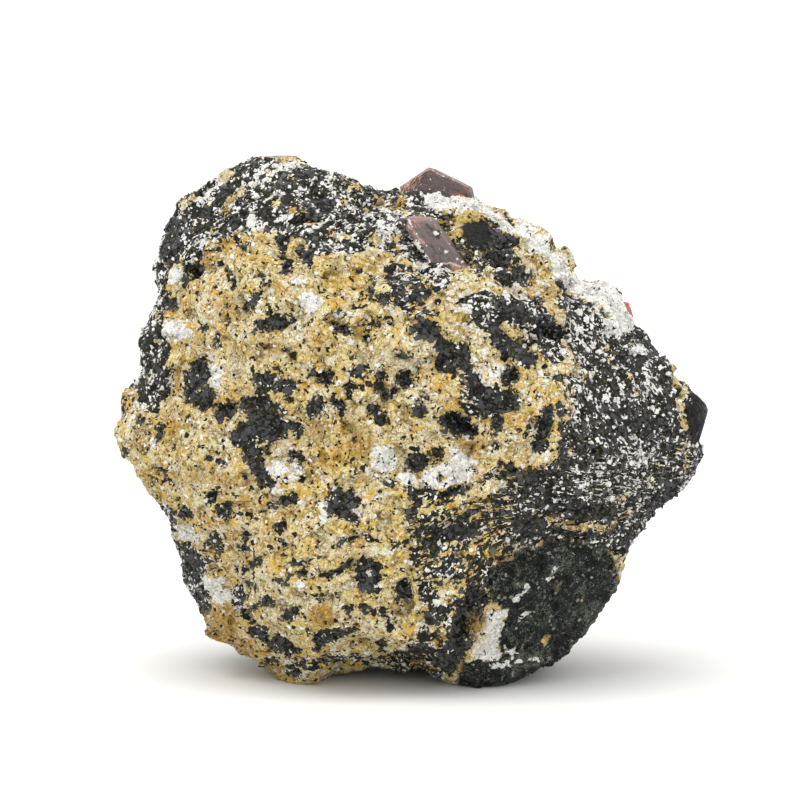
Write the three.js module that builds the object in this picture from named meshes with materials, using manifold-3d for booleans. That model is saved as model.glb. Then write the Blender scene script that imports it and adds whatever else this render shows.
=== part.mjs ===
// Zircon crystals on a lump of biotite gneiss: one broken stone and the three crystals that sit in it.
// Millimetres, +Z up. The origin is the middle of the outline seen from above, on the surface it rests on.
// -Y is the show side: the big crystal sits on the crest behind it, the long one lies in its upper slope.

import * as THREE from "three";
import { ImprovedNoise } from "three/addons/math/ImprovedNoise.js";
import { mergeVertices } from "three/addons/utils/BufferGeometryUtils.js";
import Module from "manifold-3d";

// ---- Driving dimensions, mm ----

const CORE_HEIGHT = 34; // the stone's middle, above the surface it rests on
const FRONT_DEPTH = 25; // the middle to the show side
const BACK_DEPTH = 27; // the middle to the far side
const FULLNESS = 2.7; // 2 is an ellipsoid's section, more is squarer
const BREAK_SHARPNESS = 18; // how crisply two broken faces meet
const RIM_BLEND = 0.13; // how far round the edge the outline alone decides the shape
const RIM_CALM = 2.4; // how quickly the roughness grows from the rim inwards
const SHOW_SIDE_START = 3; // either side of the rim, where the show side's own forms fade in
const SURFACE_DETAIL = 20; // the sphere that the stone is pushed out of: 20 x (21 squared) triangles
const OUTLINE_STEPS = 12; // pieces of curve between two points of the outline
const FOOT_TRIM = 0.9; // what is worn flat under each foot
const SOCKET_GAP = 0.3; // between a crystal and the stone that holds it
const ZIRCON_SLOPE = 0.905; // a zircon's pyramid rises 0.905 for each 1 from its axis to its side
const GROUND = 200; // a block wider than the stone, that takes away what is below its feet
const MERGE = 1e-4; // corners nearer than this are one corner

// The outline seen from the show side, [x, z], clockwise from the left tip.
const OUTLINE = [
  [-38.3, 33.6],
  [-37.4, 36.8],
  [-35.6, 39.4],
  [-35.3, 43.6],
  [-33.9, 46.7],
  [-32.7, 50.4],
  [-33.2, 53.2],
  [-32.6, 57.0],
  [-31.0, 60.3],
  [-28.3, 62.7],
  [-25.2, 64.8],
  [-21.5, 67.2],
  [-16.6, 68.3],
  [-13.0, 67.3],
  [-10.0, 66.5],
  [-7.6, 64.9],
  [-5.2, 63.6],
  [-1.4, 64.2],
  [2.2, 63.6],
  [5.6, 63.1],
  [9.2, 61.8],
  [13.9, 59.0],
  [17.0, 58.8],
  [18.6, 57.0],
  [20.6, 54.2],
  [21.5, 52.0],
  [24.4, 51.0],
  [27.0, 48.6],
  [27.8, 46.2],
  [29.9, 44.8],
  [32.4, 41.5],
  [34.5, 38.5],
  [36.6, 37.3],
  [37.8, 34.8],
  [36.8, 31.4],
  [36.4, 28.2],
  [35.0, 25.4],
  [31.0, 21.9],
  [28.0, 18.7],
  [26.9, 15.4],
  [26.2, 12.6],
  [23.8, 9.1],
  [20.9, 5.6],
  [18.8, 3.3],
  [15.4, 1.6],
  [11.6, -0.2],
  [7.4, -0.5],
  [3.4, 1.2],
  [-1.4, 2.5],
  [-7.2, 2.4],
  [-11.2, 1.2],
  [-14.6, 0.0],
  [-18.2, 0.9],
  [-20.9, 3.4],
  [-23.7, 4.9],
  [-26.5, 7.8],
  [-28.4, 10.8],
  [-29.8, 15.4],
  [-30.9, 21.0],
  [-33.1, 24.8],
  [-36.1, 27.6],
  [-37.9, 30.6],
];

// Broken faces: outward normal and distance from the stone's middle.
const BREAKS = [
  { name: "show face", normal: [-0.06, -1, 0.1], distance: 20.6 },
  { name: "upper slope", normal: [0.05, -0.62, 0.8], distance: 27.6 },
  { name: "calcite shoulder", normal: [0.6, -0.38, 0.7], distance: 27.0 },
  { name: "dark right flank", normal: [0.7, -0.7, 0.06], distance: 27.6 },
  { name: "low left break", normal: [-0.62, -0.62, -0.46], distance: 31.2 },
  { name: "left flank", normal: [-0.78, -0.6, 0.14], distance: 30.4 },
  { name: "upper left break", normal: [-0.42, -0.6, 0.68], distance: 31.6 },
  { name: "front underside", normal: [0, -0.45, -0.89], distance: 35.4 },
  { name: "back face", normal: [0.08, 1, 0.06], distance: 23 },
  { name: "upper back", normal: [-0.12, 0.72, 0.68], distance: 30 },
  { name: "back right", normal: [0.74, 0.66, -0.1], distance: 29 },
  { name: "back left", normal: [-0.7, 0.68, 0.22], distance: 29.4 },
  { name: "back shoulder", normal: [0.5, 0.5, 0.7], distance: 28.6 },
  { name: "back underside", normal: [0.1, 0.55, -0.83], distance: 32.4 },
];

// The slip face, low on the right: a flat break that ends under a ledge and beside a crevice.
// left is its edge along the crevice, [x, z] at the top and at the foot.
const SLIP_FACE = {
  normal: [0.42, -0.88, -0.22],
  distance: 22.6,
  top: 20.2,
  left: [
    [13.6, 20.2],
    [6.4, 3.6],
  ],
  edge: 1.1,
  roughness: 0.35,
};

// Swellings (height over 0) and hollows (under 0). Only those with a third coordinate of their own
// sit away from the show side; the others are [x, z] as seen from it.
const SWELLINGS = [
  { name: "biotite boss on the right tip", at: [34.6, 34.8], radius: 3.6, height: 0.7 },
  { name: "swirl of the dark flank", at: [27.5, 34], radius: 7.5, height: 1.9 },
  { name: "calcite knob by the small crystal", at: [24.6, 49.4], radius: 3.2, height: 1.3 },
  { name: "biotite lens under the shoulder", at: [14.4, 57.6], radius: 2.6, height: 1.1 },
  { name: "hollow under the lens", at: [15.2, 54.2], radius: 2.3, height: -1.7 },
  { name: "hollow in the banding", at: [20.2, 47.6], radius: 2.2, height: -1.8 },
  { name: "hollow in the middle", at: [7.2, 32.6], radius: 2.8, height: -1.9 },
  { name: "pit over the arch", at: [-0.8, 12.2], radius: 1.6, height: -1.6 },
  { name: "pocket on the left", at: [-26.4, 55.4], radius: 2.0, height: -1.5 },
  { name: "pocket by the white grain", at: [-19.0, 43.2], radius: 3.0, height: -1.2 },
  { name: "pale swelling, upper left", at: [-15.5, 51.5], radius: 6.5, height: 1.4 },
  { name: "tan swelling, centre", at: [-5.5, 41.0], radius: 7.0, height: 1.2 },
  { name: "tan rib, low centre", at: [-9.0, 20.4], radius: 4.6, height: 1.1 },
  { name: "rusty lip, low left", at: [-24.2, 7.4], radius: 3.8, height: 0.9 },
  { name: "left cheek", at: [-33.5, 32.6], radius: 5.0, height: 1.3 },
  { name: "saddle before the big crystal", at: [-4.4, 60.6], radius: 4.4, height: -1.4 },
  { name: "crest lobe", at: [-17.5, 61.4], radius: 5.0, height: 1.2 },
  { name: "hollow on the far side", at: [9, 22, 40], radius: 8.5, height: -2.6 },
  { name: "far side boss", at: [-12, 22, 30], radius: 9, height: 2.2 },
  { name: "far side ledge", at: [4, 22, 18], radius: 7, height: 1.8 },
  { name: "top behind the crest", at: [-15, 9, 66], radius: 7, height: -2.2 },
  { name: "front left foot", at: [-15.5, -11, 1], radius: 5.2, height: 2.6 },
  { name: "front right foot", at: [10.5, -10, 1], radius: 5.6, height: 2.4 },
  { name: "back foot", at: [1, 16, 2], radius: 7.4, height: 6.6 },
];

// Grooves on the show side: [x, z] along the groove, half width and depth.
const GROOVES = [
  {
    name: "parting under the dark flank",
    along: [[4, 22.4], [11, 20.6], [19, 21.6], [26, 21.8], [32, 25.6]],
    width: 1.3,
    depth: 1.7,
  },
  {
    name: "crevice beside the slip face",
    along: [[12.6, 16.8], [8.4, 12.6], [6.6, 7.4], [6.2, 3.4]],
    width: 1.5,
    depth: 2.3,
  },
  {
    name: "crack below the crest",
    along: [[-12.4, 54.4], [-8.4, 55.2], [-4.4, 56.2], [1, 55.8]],
    width: 1.1,
    depth: 1.1,
  },
  {
    name: "crack through the pale swelling",
    along: [[-15.6, 59.4], [-14.6, 54.6], [-13.6, 49.4]],
    width: 1.0,
    depth: 1.2,
  },
  {
    name: "seam of the dark flank",
    along: [[23.4, 44.6], [20.8, 37.6], [18.2, 30.6], [14.6, 25.4]],
    width: 1.5,
    depth: 1.1,
  },
];

// The gneiss parts along its mica layers, which rise to the right and dip away from the show side.
// slowShare is the part of each layer that rises slowly before the drop to the next one.
const LAYERING = {
  normal: [-0.4, 0.22, 0.89],
  spacing: 6.4,
  slowShare: 0.72,
  step: 1.15,
  waver: 2.6,
  waverSize: 17,
  patchSize: 11,
  leastStrength: 0.55,
};

// Roughness of the break: size of the lumps, how far they stand out, and their share at the rim.
const ROUGHNESS = [
  { size: 13, height: 1.9, atRim: 0.25 },
  { size: 6.2, height: 1.25, atRim: 0.5 },
  { size: 3.4, height: 0.75, atRim: 0.9 },
];
const OCTAVE_SHIFT = 31.7; // sets each size of lump apart from the others

// Crystals: a square prism with a pyramid at each end. half is the distance from axis to side.
// The axis lies at tilt degrees above +X, turned by swing about Z, and the sides by roll about the axis.
// uneven lists faces that grew or broke further in than the regular form: the way that each looks along
// the axis, to the back and up, before the crystal is turned, and its distance from the centre.
const ZIRCONS = [
  {
    name: "zircon_crest",
    centre: [3.4, 4.4, 61.3],
    half: 3.4,
    prism: 5.8,
    tilt: -25,
    swing: -10,
    roll: -6.6,
    uneven: [
      { toward: [-0.835, 0, 0.55], distance: 4.2 },
      { toward: [0.8, 0.45, 0.4], distance: 4.7 },
    ],
    color: 0x5d4744,
  },
  {
    name: "zircon_slope",
    centre: [3.25, -12.75, 56.55],
    half: 1.7,
    prism: 9.4,
    tilt: -53,
    swing: 8,
    roll: 12,
    uneven: [{ toward: [-0.741, 0, 0.671], distance: 3.75 }],
    color: 0x6a5356,
  },
  {
    name: "zircon_shoulder",
    centre: [27.0, 0.6, 47.0],
    half: 1.0,
    prism: 2.0,
    tilt: -72,
    swing: 0,
    roll: 30,
    uneven: [],
    color: 0xb4573f,
  },
];

const BIOTITE_GNEISS = new THREE.MeshStandardMaterial({ color: 0x8d8061, roughness: 0.8, metalness: 0 });

const perlin = new ImprovedNoise();
const wasm = await Module();
wasm.setup();

// ---- The stone ----

/** The outline's distance from the stone's middle, for an angle in the XZ plane. */
function outlineReach() {
  const curve = new THREE.CatmullRomCurve3(
    OUTLINE.map(([x, z]) => new THREE.Vector3(x, 0, z - CORE_HEIGHT)),
    true,
    "centripetal",
  );
  const places = curve
    .getPoints(OUTLINE.length * OUTLINE_STEPS)
    .map((p) => ({ angle: Math.atan2(p.z, p.x), reach: Math.hypot(p.x, p.z) }))
    .sort((a, b) => a.angle - b.angle);
  const first = places[0];
  const last = places.at(-1);
  places.unshift({ angle: last.angle - 2 * Math.PI, reach: last.reach });
  places.push({ angle: first.angle + 2 * Math.PI, reach: first.reach });
  return (angle) => {
    let low = 0;
    let high = places.length - 1;
    while (high - low > 1) {
      const middle = (low + high) >> 1;
      if (places[middle].angle <= angle) low = middle;
      else high = middle;
    }
    const span = places[high].angle - places[low].angle;
    const share = span > 0 ? (angle - places[low].angle) / span : 0;
    return THREE.MathUtils.lerp(places[low].reach, places[high].reach, share);
  };
}

const reachAt = outlineReach();
const breaks = BREAKS.map(({ normal, distance }) => ({
  normal: new THREE.Vector3(...normal).normalize(),
  distance,
}));
const slipNormal = new THREE.Vector3(...SLIP_FACE.normal).normalize();
const layerNormal = new THREE.Vector3(...LAYERING.normal).normalize();

/** How far the unbroken, rounded body reaches in a direction. */
function bodyReach(direction) {
  const { x, y, z } = direction;
  const across = Math.hypot(x, z) / reachAt(Math.atan2(z, x));
  const along = Math.abs(y) / (y < 0 ? FRONT_DEPTH : BACK_DEPTH);
  return 1 / (across ** FULLNESS + along ** FULLNESS) ** (1 / FULLNESS);
}

/** The body cut back by the broken faces, whose edges are a little worn. */
function brokenReach(direction) {
  const body = bodyReach(direction);
  let sum = body ** -BREAK_SHARPNESS;
  for (const { normal, distance } of breaks) {
    const facing = normal.dot(direction);
    if (facing > 0) sum += (distance / facing) ** -BREAK_SHARPNESS;
  }
  const rim = Math.exp(-((direction.y / RIM_BLEND) ** 2));
  return THREE.MathUtils.lerp(sum ** (-1 / BREAK_SHARPNESS), body, rim);
}

/** Smooth noise from -1 to 1 whose lumps have the size given; each octave has lumps of its own. */
function noiseAt(point, size, octave = 0) {
  const shift = octave * OCTAVE_SHIFT;
  return perlin.noise(point.x / size + shift, point.y / size - shift, point.z / size + shift / 2);
}

/** A bell curve of a distance: 1 in the middle, near 0 at twice the width. */
const bell = (distance, width) => Math.exp(-((distance / width) ** 2));

/** How fully a point belongs to the show side: 1 in front, 0 behind the edge. */
const showSide = ({ y }) => THREE.MathUtils.smoothstep(-y, -SHOW_SIDE_START, SHOW_SIDE_START);

/** The shortest distance from a point to a run of [x, z], as seen from the show side. */
function distanceToRun({ x, z }, run) {
  const seen = new THREE.Vector3(x, 0, z);
  const piece = new THREE.Line3();
  const foot = new THREE.Vector3();
  let nearest = Infinity;
  for (let i = 1; i < run.length; i++) {
    piece.start.set(run[i - 1][0], 0, run[i - 1][1]);
    piece.end.set(run[i][0], 0, run[i][1]);
    nearest = Math.min(nearest, piece.closestPointToPoint(seen, true, foot).distanceTo(seen));
  }
  return nearest;
}

/** What the swellings and hollows add at a point of the surface. */
function swelling(point) {
  let sum = 0;
  for (const { at, radius, height } of SWELLINGS) {
    if (at.length === 3) {
      sum += height * bell(point.distanceTo(new THREE.Vector3(...at)), radius);
    } else {
      const away = Math.hypot(point.x - at[0], point.z - at[1]);
      sum += height * bell(away, radius) * showSide(point);
    }
  }
  return sum;
}

/** What the grooves take away at a point of the surface. */
function grooving(point) {
  let sum = 0;
  for (const { along, width, depth } of GROOVES) {
    sum += depth * bell(distanceToRun(point, along), width) * showSide(point);
  }
  return sum;
}

/** Ledges where the mica layers part: a slow rise, then a quick drop to the next layer. */
function ledging(point) {
  const { spacing, slowShare, step, waver, waverSize, patchSize, leastStrength } = LAYERING;
  const layer = (layerNormal.dot(point) + waver * noiseAt(point, waverSize)) / spacing;
  const share = layer - Math.floor(layer);
  const rise = share < slowShare ? share / slowShare : (1 - share) / (1 - slowShare);
  const strength = leastStrength + (1 - leastStrength) * noiseAt(point, patchSize, 1);
  return step * strength * (rise - 0.5);
}

/** The lumps and dents of a fresh break, calmer at the rim so that the outline holds. */
function roughening(point, direction) {
  const inside = Math.min(1, Math.abs(direction.y) * RIM_CALM);
  let sum = 0;
  ROUGHNESS.forEach(({ size, height, atRim }, octave) => {
    sum += height * noiseAt(point, size, octave + 1) * THREE.MathUtils.lerp(atRim, 1, inside);
  });
  return sum;
}

/** The point at a distance from the stone's middle. */
function onRay(direction, reach) {
  const point = direction.clone().multiplyScalar(reach);
  point.z += CORE_HEIGHT;
  return point;
}

/** How fully a point lies on the slip face: 1 on it, 0 past its ledge and its crevice. */
function slipShare(point) {
  const { top, left, edge } = SLIP_FACE;
  const [[topX, topZ], [footX, footZ]] = left;
  const edgeX = THREE.MathUtils.mapLinear(point.z, footZ, topZ, footX, topX);
  const under = THREE.MathUtils.smoothstep(top - point.z, -edge, edge);
  const beside = THREE.MathUtils.smoothstep(point.x - edgeX, -edge, edge);
  return under * beside * showSide(point);
}

/** The stone's surface point in a direction from its middle. */
function surfacePoint(direction) {
  const broken = brokenReach(direction);
  const point = onRay(direction, broken);
  const facing = slipNormal.dot(direction);
  const slip = facing > 0 ? Math.min(broken, SLIP_FACE.distance / facing) : broken;
  const share = slipShare(point);
  const lumps = swelling(point) - grooving(point) + ledging(point) + roughening(point, direction);
  const reach = THREE.MathUtils.lerp(broken + lumps, slip + lumps * SLIP_FACE.roughness, share);
  const surface = onRay(direction, reach);
  surface.z -= FOOT_TRIM;
  return surface;
}

/** A geometry with only merged positions, as booleans need it. */
function closed(geometry) {
  geometry.deleteAttribute("normal");
  geometry.deleteAttribute("uv");
  return mergeVertices(geometry, MERGE);
}

/** The stone as a closed surface, before its feet are flattened and its sockets cut. */
function stoneGeometry() {
  const geometry = closed(new THREE.IcosahedronGeometry(1, SURFACE_DETAIL));
  const position = geometry.getAttribute("position");
  const direction = new THREE.Vector3();
  for (let i = 0; i < position.count; i++) {
    const { x, y, z } = surfacePoint(direction.fromBufferAttribute(position, i).normalize());
    position.setXYZ(i, x, y, z);
  }
  return geometry;
}

// ---- The crystals ----

/** A zircon's form: four sides and two four-sided pyramids, grown outwards by extra on every face. */
function zirconGeometry({ centre, half, prism, tilt, swing, roll, uneven }, extra = 0) {
  const side = half + extra;
  const corner = side * Math.SQRT2;
  const slant = Math.hypot(1, ZIRCON_SLOPE);
  const tip = prism / 2 + half * ZIRCON_SLOPE + extra * slant;
  const collar = tip - side * ZIRCON_SLOPE;
  const profile = [
    new THREE.Vector2(0, -tip),
    new THREE.Vector2(corner, -collar),
    new THREE.Vector2(corner, collar),
    new THREE.Vector2(0, tip),
  ];
  let form = solid(closed(new THREE.LatheGeometry(profile, 4, Math.PI / 4)).rotateZ(-Math.PI / 2));
  for (const { toward, distance } of uneven) {
    const inward = new THREE.Vector3(...toward).normalize().negate();
    form = form.trimByPlane(inward.toArray(), -(distance + extra));
  }
  const radians = THREE.MathUtils.degToRad;
  return closed(geometryOf(form))
    .rotateX(radians(roll))
    .rotateY(-radians(tilt))
    .rotateZ(radians(swing))
    .translate(...centre);
}

// ---- Solids ----

/** A closed geometry as a solid that can be cut. */
function solid(geometry) {
  const merged = mergeVertices(geometry, MERGE);
  return new wasm.Manifold(
    new wasm.Mesh({
      numProp: 3,
      vertProperties: merged.getAttribute("position").array,
      triVerts: new Uint32Array(merged.index.array),
    }),
  );
}

/** A cut solid as a geometry again. */
function geometryOf(made) {
  const { vertProperties, triVerts } = made.getMesh();
  const geometry = new THREE.BufferGeometry();
  geometry.setAttribute("position", new THREE.BufferAttribute(new Float32Array(vertProperties), 3));
  geometry.setIndex(new THREE.BufferAttribute(new Uint32Array(triVerts), 1));
  geometry.computeVertexNormals();
  return geometry;
}

/** The matrix: the stone with flat feet and a socket for each crystal. */
function matrixGeometry() {
  const below = closed(new THREE.BoxGeometry(GROUND, GROUND, GROUND)).translate(0, 0, -GROUND / 2);
  let stone = solid(stoneGeometry()).subtract(solid(below));
  for (const zircon of ZIRCONS) stone = stone.subtract(solid(zirconGeometry(zircon, SOCKET_GAP)));
  return geometryOf(stone);
}

const specimen = new THREE.Group();

const matrix = new THREE.Mesh(matrixGeometry(), BIOTITE_GNEISS);
matrix.name = "matrix";
specimen.add(matrix);

for (const zircon of ZIRCONS) {
  const material = new THREE.MeshStandardMaterial({ color: zircon.color, roughness: 0.3, metalness: 0 });
  const crystal = new THREE.Mesh(zirconGeometry(zircon), material);
  crystal.name = zircon.name;
  specimen.add(crystal);
}

// The middle of the outline seen from above goes to the origin.
const middle = new THREE.Box3().setFromObject(specimen).getCenter(new THREE.Vector3());
specimen.position.set(-middle.x, -middle.y, 0);

export default specimen;
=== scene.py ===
"""Zircon on matrix: the finished surfaces of a broken lump of biotite gneiss and its three zircons.

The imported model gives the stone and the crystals. Here the stone's surface is made finer and broken up
into its minerals, its loose grains and mica flakes are strewn on it, and the crystals get their growth
lines, chips and gloss. Lengths are in millimetres until a mesh is written, which is in metres.
"""

import logging
from dataclasses import dataclass, field
from enum import Enum
from functools import partial
from math import cos, radians, sin

import bpy
import numpy as np
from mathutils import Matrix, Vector


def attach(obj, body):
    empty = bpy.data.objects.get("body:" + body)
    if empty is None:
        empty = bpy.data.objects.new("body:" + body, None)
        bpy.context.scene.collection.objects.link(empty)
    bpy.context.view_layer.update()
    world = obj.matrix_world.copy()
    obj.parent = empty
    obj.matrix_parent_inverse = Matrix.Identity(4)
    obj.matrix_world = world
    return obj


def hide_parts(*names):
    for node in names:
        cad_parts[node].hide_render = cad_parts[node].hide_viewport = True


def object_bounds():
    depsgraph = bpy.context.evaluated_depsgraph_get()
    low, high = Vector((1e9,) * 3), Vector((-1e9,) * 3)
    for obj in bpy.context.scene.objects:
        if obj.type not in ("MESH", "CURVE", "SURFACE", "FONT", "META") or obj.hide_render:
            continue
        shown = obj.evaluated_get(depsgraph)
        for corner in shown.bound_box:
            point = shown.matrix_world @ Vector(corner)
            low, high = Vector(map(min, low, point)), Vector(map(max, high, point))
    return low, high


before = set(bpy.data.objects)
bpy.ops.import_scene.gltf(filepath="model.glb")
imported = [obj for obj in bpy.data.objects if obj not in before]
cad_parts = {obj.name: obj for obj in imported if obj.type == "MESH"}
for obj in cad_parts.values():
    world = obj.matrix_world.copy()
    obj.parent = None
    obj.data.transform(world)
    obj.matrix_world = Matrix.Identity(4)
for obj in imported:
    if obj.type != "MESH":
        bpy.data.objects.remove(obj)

CAD_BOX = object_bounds()
MM = 0.001
BODY = "root"

log = logging.getLogger("zircon_on_matrix")

Array = np.ndarray


# ---- Small tools ----


@dataclass(frozen=True)
class Kind:
    """A kind of shader node, as it is used here.

    Attributes:
        name: Blender's name for it.
        sockets: the names or places of the inputs that are given, in turn.
        settings: its own properties.
    """

    name: str
    sockets: tuple[int | str, ...] = ()
    settings: dict[str, str] = field(default_factory=dict)


ABSOLUTE, ADD, GREATER_THAN, LESS_THAN, MAXIMUM, MULTIPLY, MULTIPLY_ADD, SUBTRACT = (
    Kind("ShaderNodeMath", (0, 1, 2), {"operation": name})
    for name in "ABSOLUTE ADD GREATER_THAN LESS_THAN MAXIMUM MULTIPLY MULTIPLY_ADD SUBTRACT".split()
)
DOT_PRODUCT, LENGTH, SCALE, VECTOR_ADD, VECTOR_SUBTRACT = (
    Kind("ShaderNodeVectorMath", (0, second), {"operation": name})
    for name, second in zip("DOT_PRODUCT LENGTH SCALE ADD SUBTRACT".split(), (1, 1, "Scale", 1, 1))
)
MIX, TINT = (
    Kind("ShaderNodeMix", (0, 6, 7), {"data_type": "RGBA", "blend_type": name})
    for name in ("MIX", "MULTIPLY")
)
RANGE = Kind("ShaderNodeMapRange", (0, 1, 2, 3, 4))
NOISE = Kind("ShaderNodeTexNoise", ("Vector", "Scale", "Detail", "Roughness", "Distortion"))
LAYERED_NOISE = Kind(NOISE.name, ("W", *NOISE.sockets), {"noise_dimensions": "4D"})
CELLS = Kind("ShaderNodeTexVoronoi", ("Vector", "Scale"))
LAYERED_CELLS = Kind(CELLS.name, ("W", *CELLS.sockets), {"voronoi_dimensions": "4D"})
JOINTS = Kind(CELLS.name, CELLS.sockets, {"feature": "DISTANCE_TO_EDGE"})
SPLIT = Kind("ShaderNodeSeparateColor", (0,))
FIELD = Kind("ShaderNodeAttribute")
COORDINATES = Kind("ShaderNodeTexCoord")
RAMP = Kind("ShaderNodeValToRGB", (0,))
BUMP = Kind("ShaderNodeBump", ("Height", "Distance", "Strength"))
PRINCIPLED = Kind(
    "ShaderNodeBsdfPrincipled", ("Base Color", "Roughness", "Normal", "IOR", "Specular IOR Level")
)
SURFACE = Kind("ShaderNodeOutputMaterial", ("Surface",))


def linear(colour: str) -> tuple[float, float, float, float]:
    """Turns an sRGB hex colour to the linear one that shaders and lights take.

    Args:
        colour: the colour as "#rrggbb".

    Returns:
        Linear red, green and blue from 0 to 1, and an alpha of 1.
    """
    parts = [int(colour[i : i + 2], 16) / 255 for i in (1, 3, 5)]
    low = [p / 12.92 if p <= 0.04045 else ((p + 0.055) / 1.055) ** 2.4 for p in parts]
    return (low[0], low[1], low[2], 1.0)


def add_node(tree: bpy.types.NodeTree, kind: Kind, *values: object, **settings: object) -> bpy.types.Node:
    """Adds a node with its settings, input values and links.

    Args:
        tree: the material's node tree.
        kind: what it is.
        *values: for each of the kind's sockets in turn, a value, a "#rrggbb" colour, or the socket or node
            that feeds it; a node feeds it from its first output in use.
        **settings: more of the node's own properties.

    Returns:
        The new node.
    """
    node = tree.nodes.new(kind.name)
    for name, value in (kind.settings | settings).items():
        setattr(node, name, value)
    for place, value in zip(kind.sockets, values):
        if isinstance(value, str):
            value = linear(value)
        if isinstance(value, bpy.types.Node):
            value = next(output for output in value.outputs if output.enabled)
        if isinstance(value, bpy.types.NodeSocket):
            tree.links.new(value, node.inputs[place])
        else:
            node.inputs[place].default_value = value
    return node


def new_material(name: str, fields: type[Enum] | None = None) -> tuple:
    """Starts a material.

    Args:
        name: its name.
        fields: the fields of the mesh that it reads.

    Returns:
        The material, the function that adds a node to it, the node that gives places in mm, and the socket
        of each field.
    """
    material = bpy.data.materials.new(name)
    material.use_nodes = True
    material.node_tree.nodes.clear()
    add = partial(add_node, material.node_tree)
    mm = add(SCALE, add(COORDINATES).outputs["Object"], 1 / MM)
    found = {item: add(FIELD, attribute_name=item.value).outputs["Fac"] for item in fields or ()}
    return material, add, mm, found


def weighted(add: partial, start: object, *parts: tuple) -> bpy.types.Node:
    """Adds shares of several patterns to a start value.

    Args:
        add: adds a node to the material.
        start: a number, or the first pattern.
        *parts: a pattern and its share, for each.

    Returns:
        The node that gives the total.
    """
    for pattern, share in parts:
        start = add(MULTIPLY_ADD, pattern, share, start)
    return start


def covered(add: partial, ground: object, *layers: tuple) -> bpy.types.Node:
    """Lays colours over one another.

    Args:
        add: adds a node to the material.
        ground: the lowest colour.
        *layers: where each covers what is under it, and its colour.

    Returns:
        The node that gives the colour.
    """
    for share, colour in layers:
        ground = add(MIX, share, ground, colour)
    return ground


def smoothstep(low: float, high: float, value: Array) -> Array:
    """Rises smoothly from 0 at low to 1 at high.

    Args:
        low: where the rise starts.
        high: where it ends; it may be under low, for a fall.
        value: the numbers to map.

    Returns:
        Numbers from 0 to 1.
    """
    share = np.clip((value - low) / (high - low), 0, 1)
    return share * share * (3 - 2 * share)


def write_mesh(name: str, corners: Array, faces: Array, smooth: bool) -> bpy.types.Object:
    """Makes a mesh object from arrays in millimetres.

    Args:
        name: the piece's name.
        corners: its points, one row each.
        faces: point numbers, one row a face, all with the same number of corners.
        smooth: whether its faces are shaded smoothly.

    Returns:
        The object, in metres, linked into the scene.
    """
    low, high = (np.array(corner) / MM for corner in CAD_BOX)
    sides = faces.shape[1]
    mesh = bpy.data.meshes.new(name)
    mesh.vertices.add(len(corners))
    mesh.vertices.foreach_set("co", (np.clip(corners, low, high) * MM).astype(np.float32).ravel())
    mesh.loops.add(faces.size)
    mesh.loops.foreach_set("vertex_index", faces.astype(np.int32).ravel())
    mesh.polygons.add(len(faces))
    mesh.polygons.foreach_set("loop_start", np.arange(0, faces.size, sides, dtype=np.int32))
    mesh.polygons.foreach_set("use_smooth", np.full(len(faces), smooth))
    mesh.update(calc_edges=True)
    mesh.validate()
    made = bpy.data.objects.new(name, mesh)
    bpy.context.scene.collection.objects.link(made)
    return made


def write_field(piece: bpy.types.Object, name: Enum, values: Array) -> None:
    """Stores one number a point on a mesh, for its material to read.

    Args:
        piece: the mesh object.
        name: the field.
        values: one number for each point.
    """
    stored = piece.data.attributes.new(name.value, "FLOAT", "POINT")
    stored.data.foreach_set("value", values.astype(np.float32))


# ---- Noise ----


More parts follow.
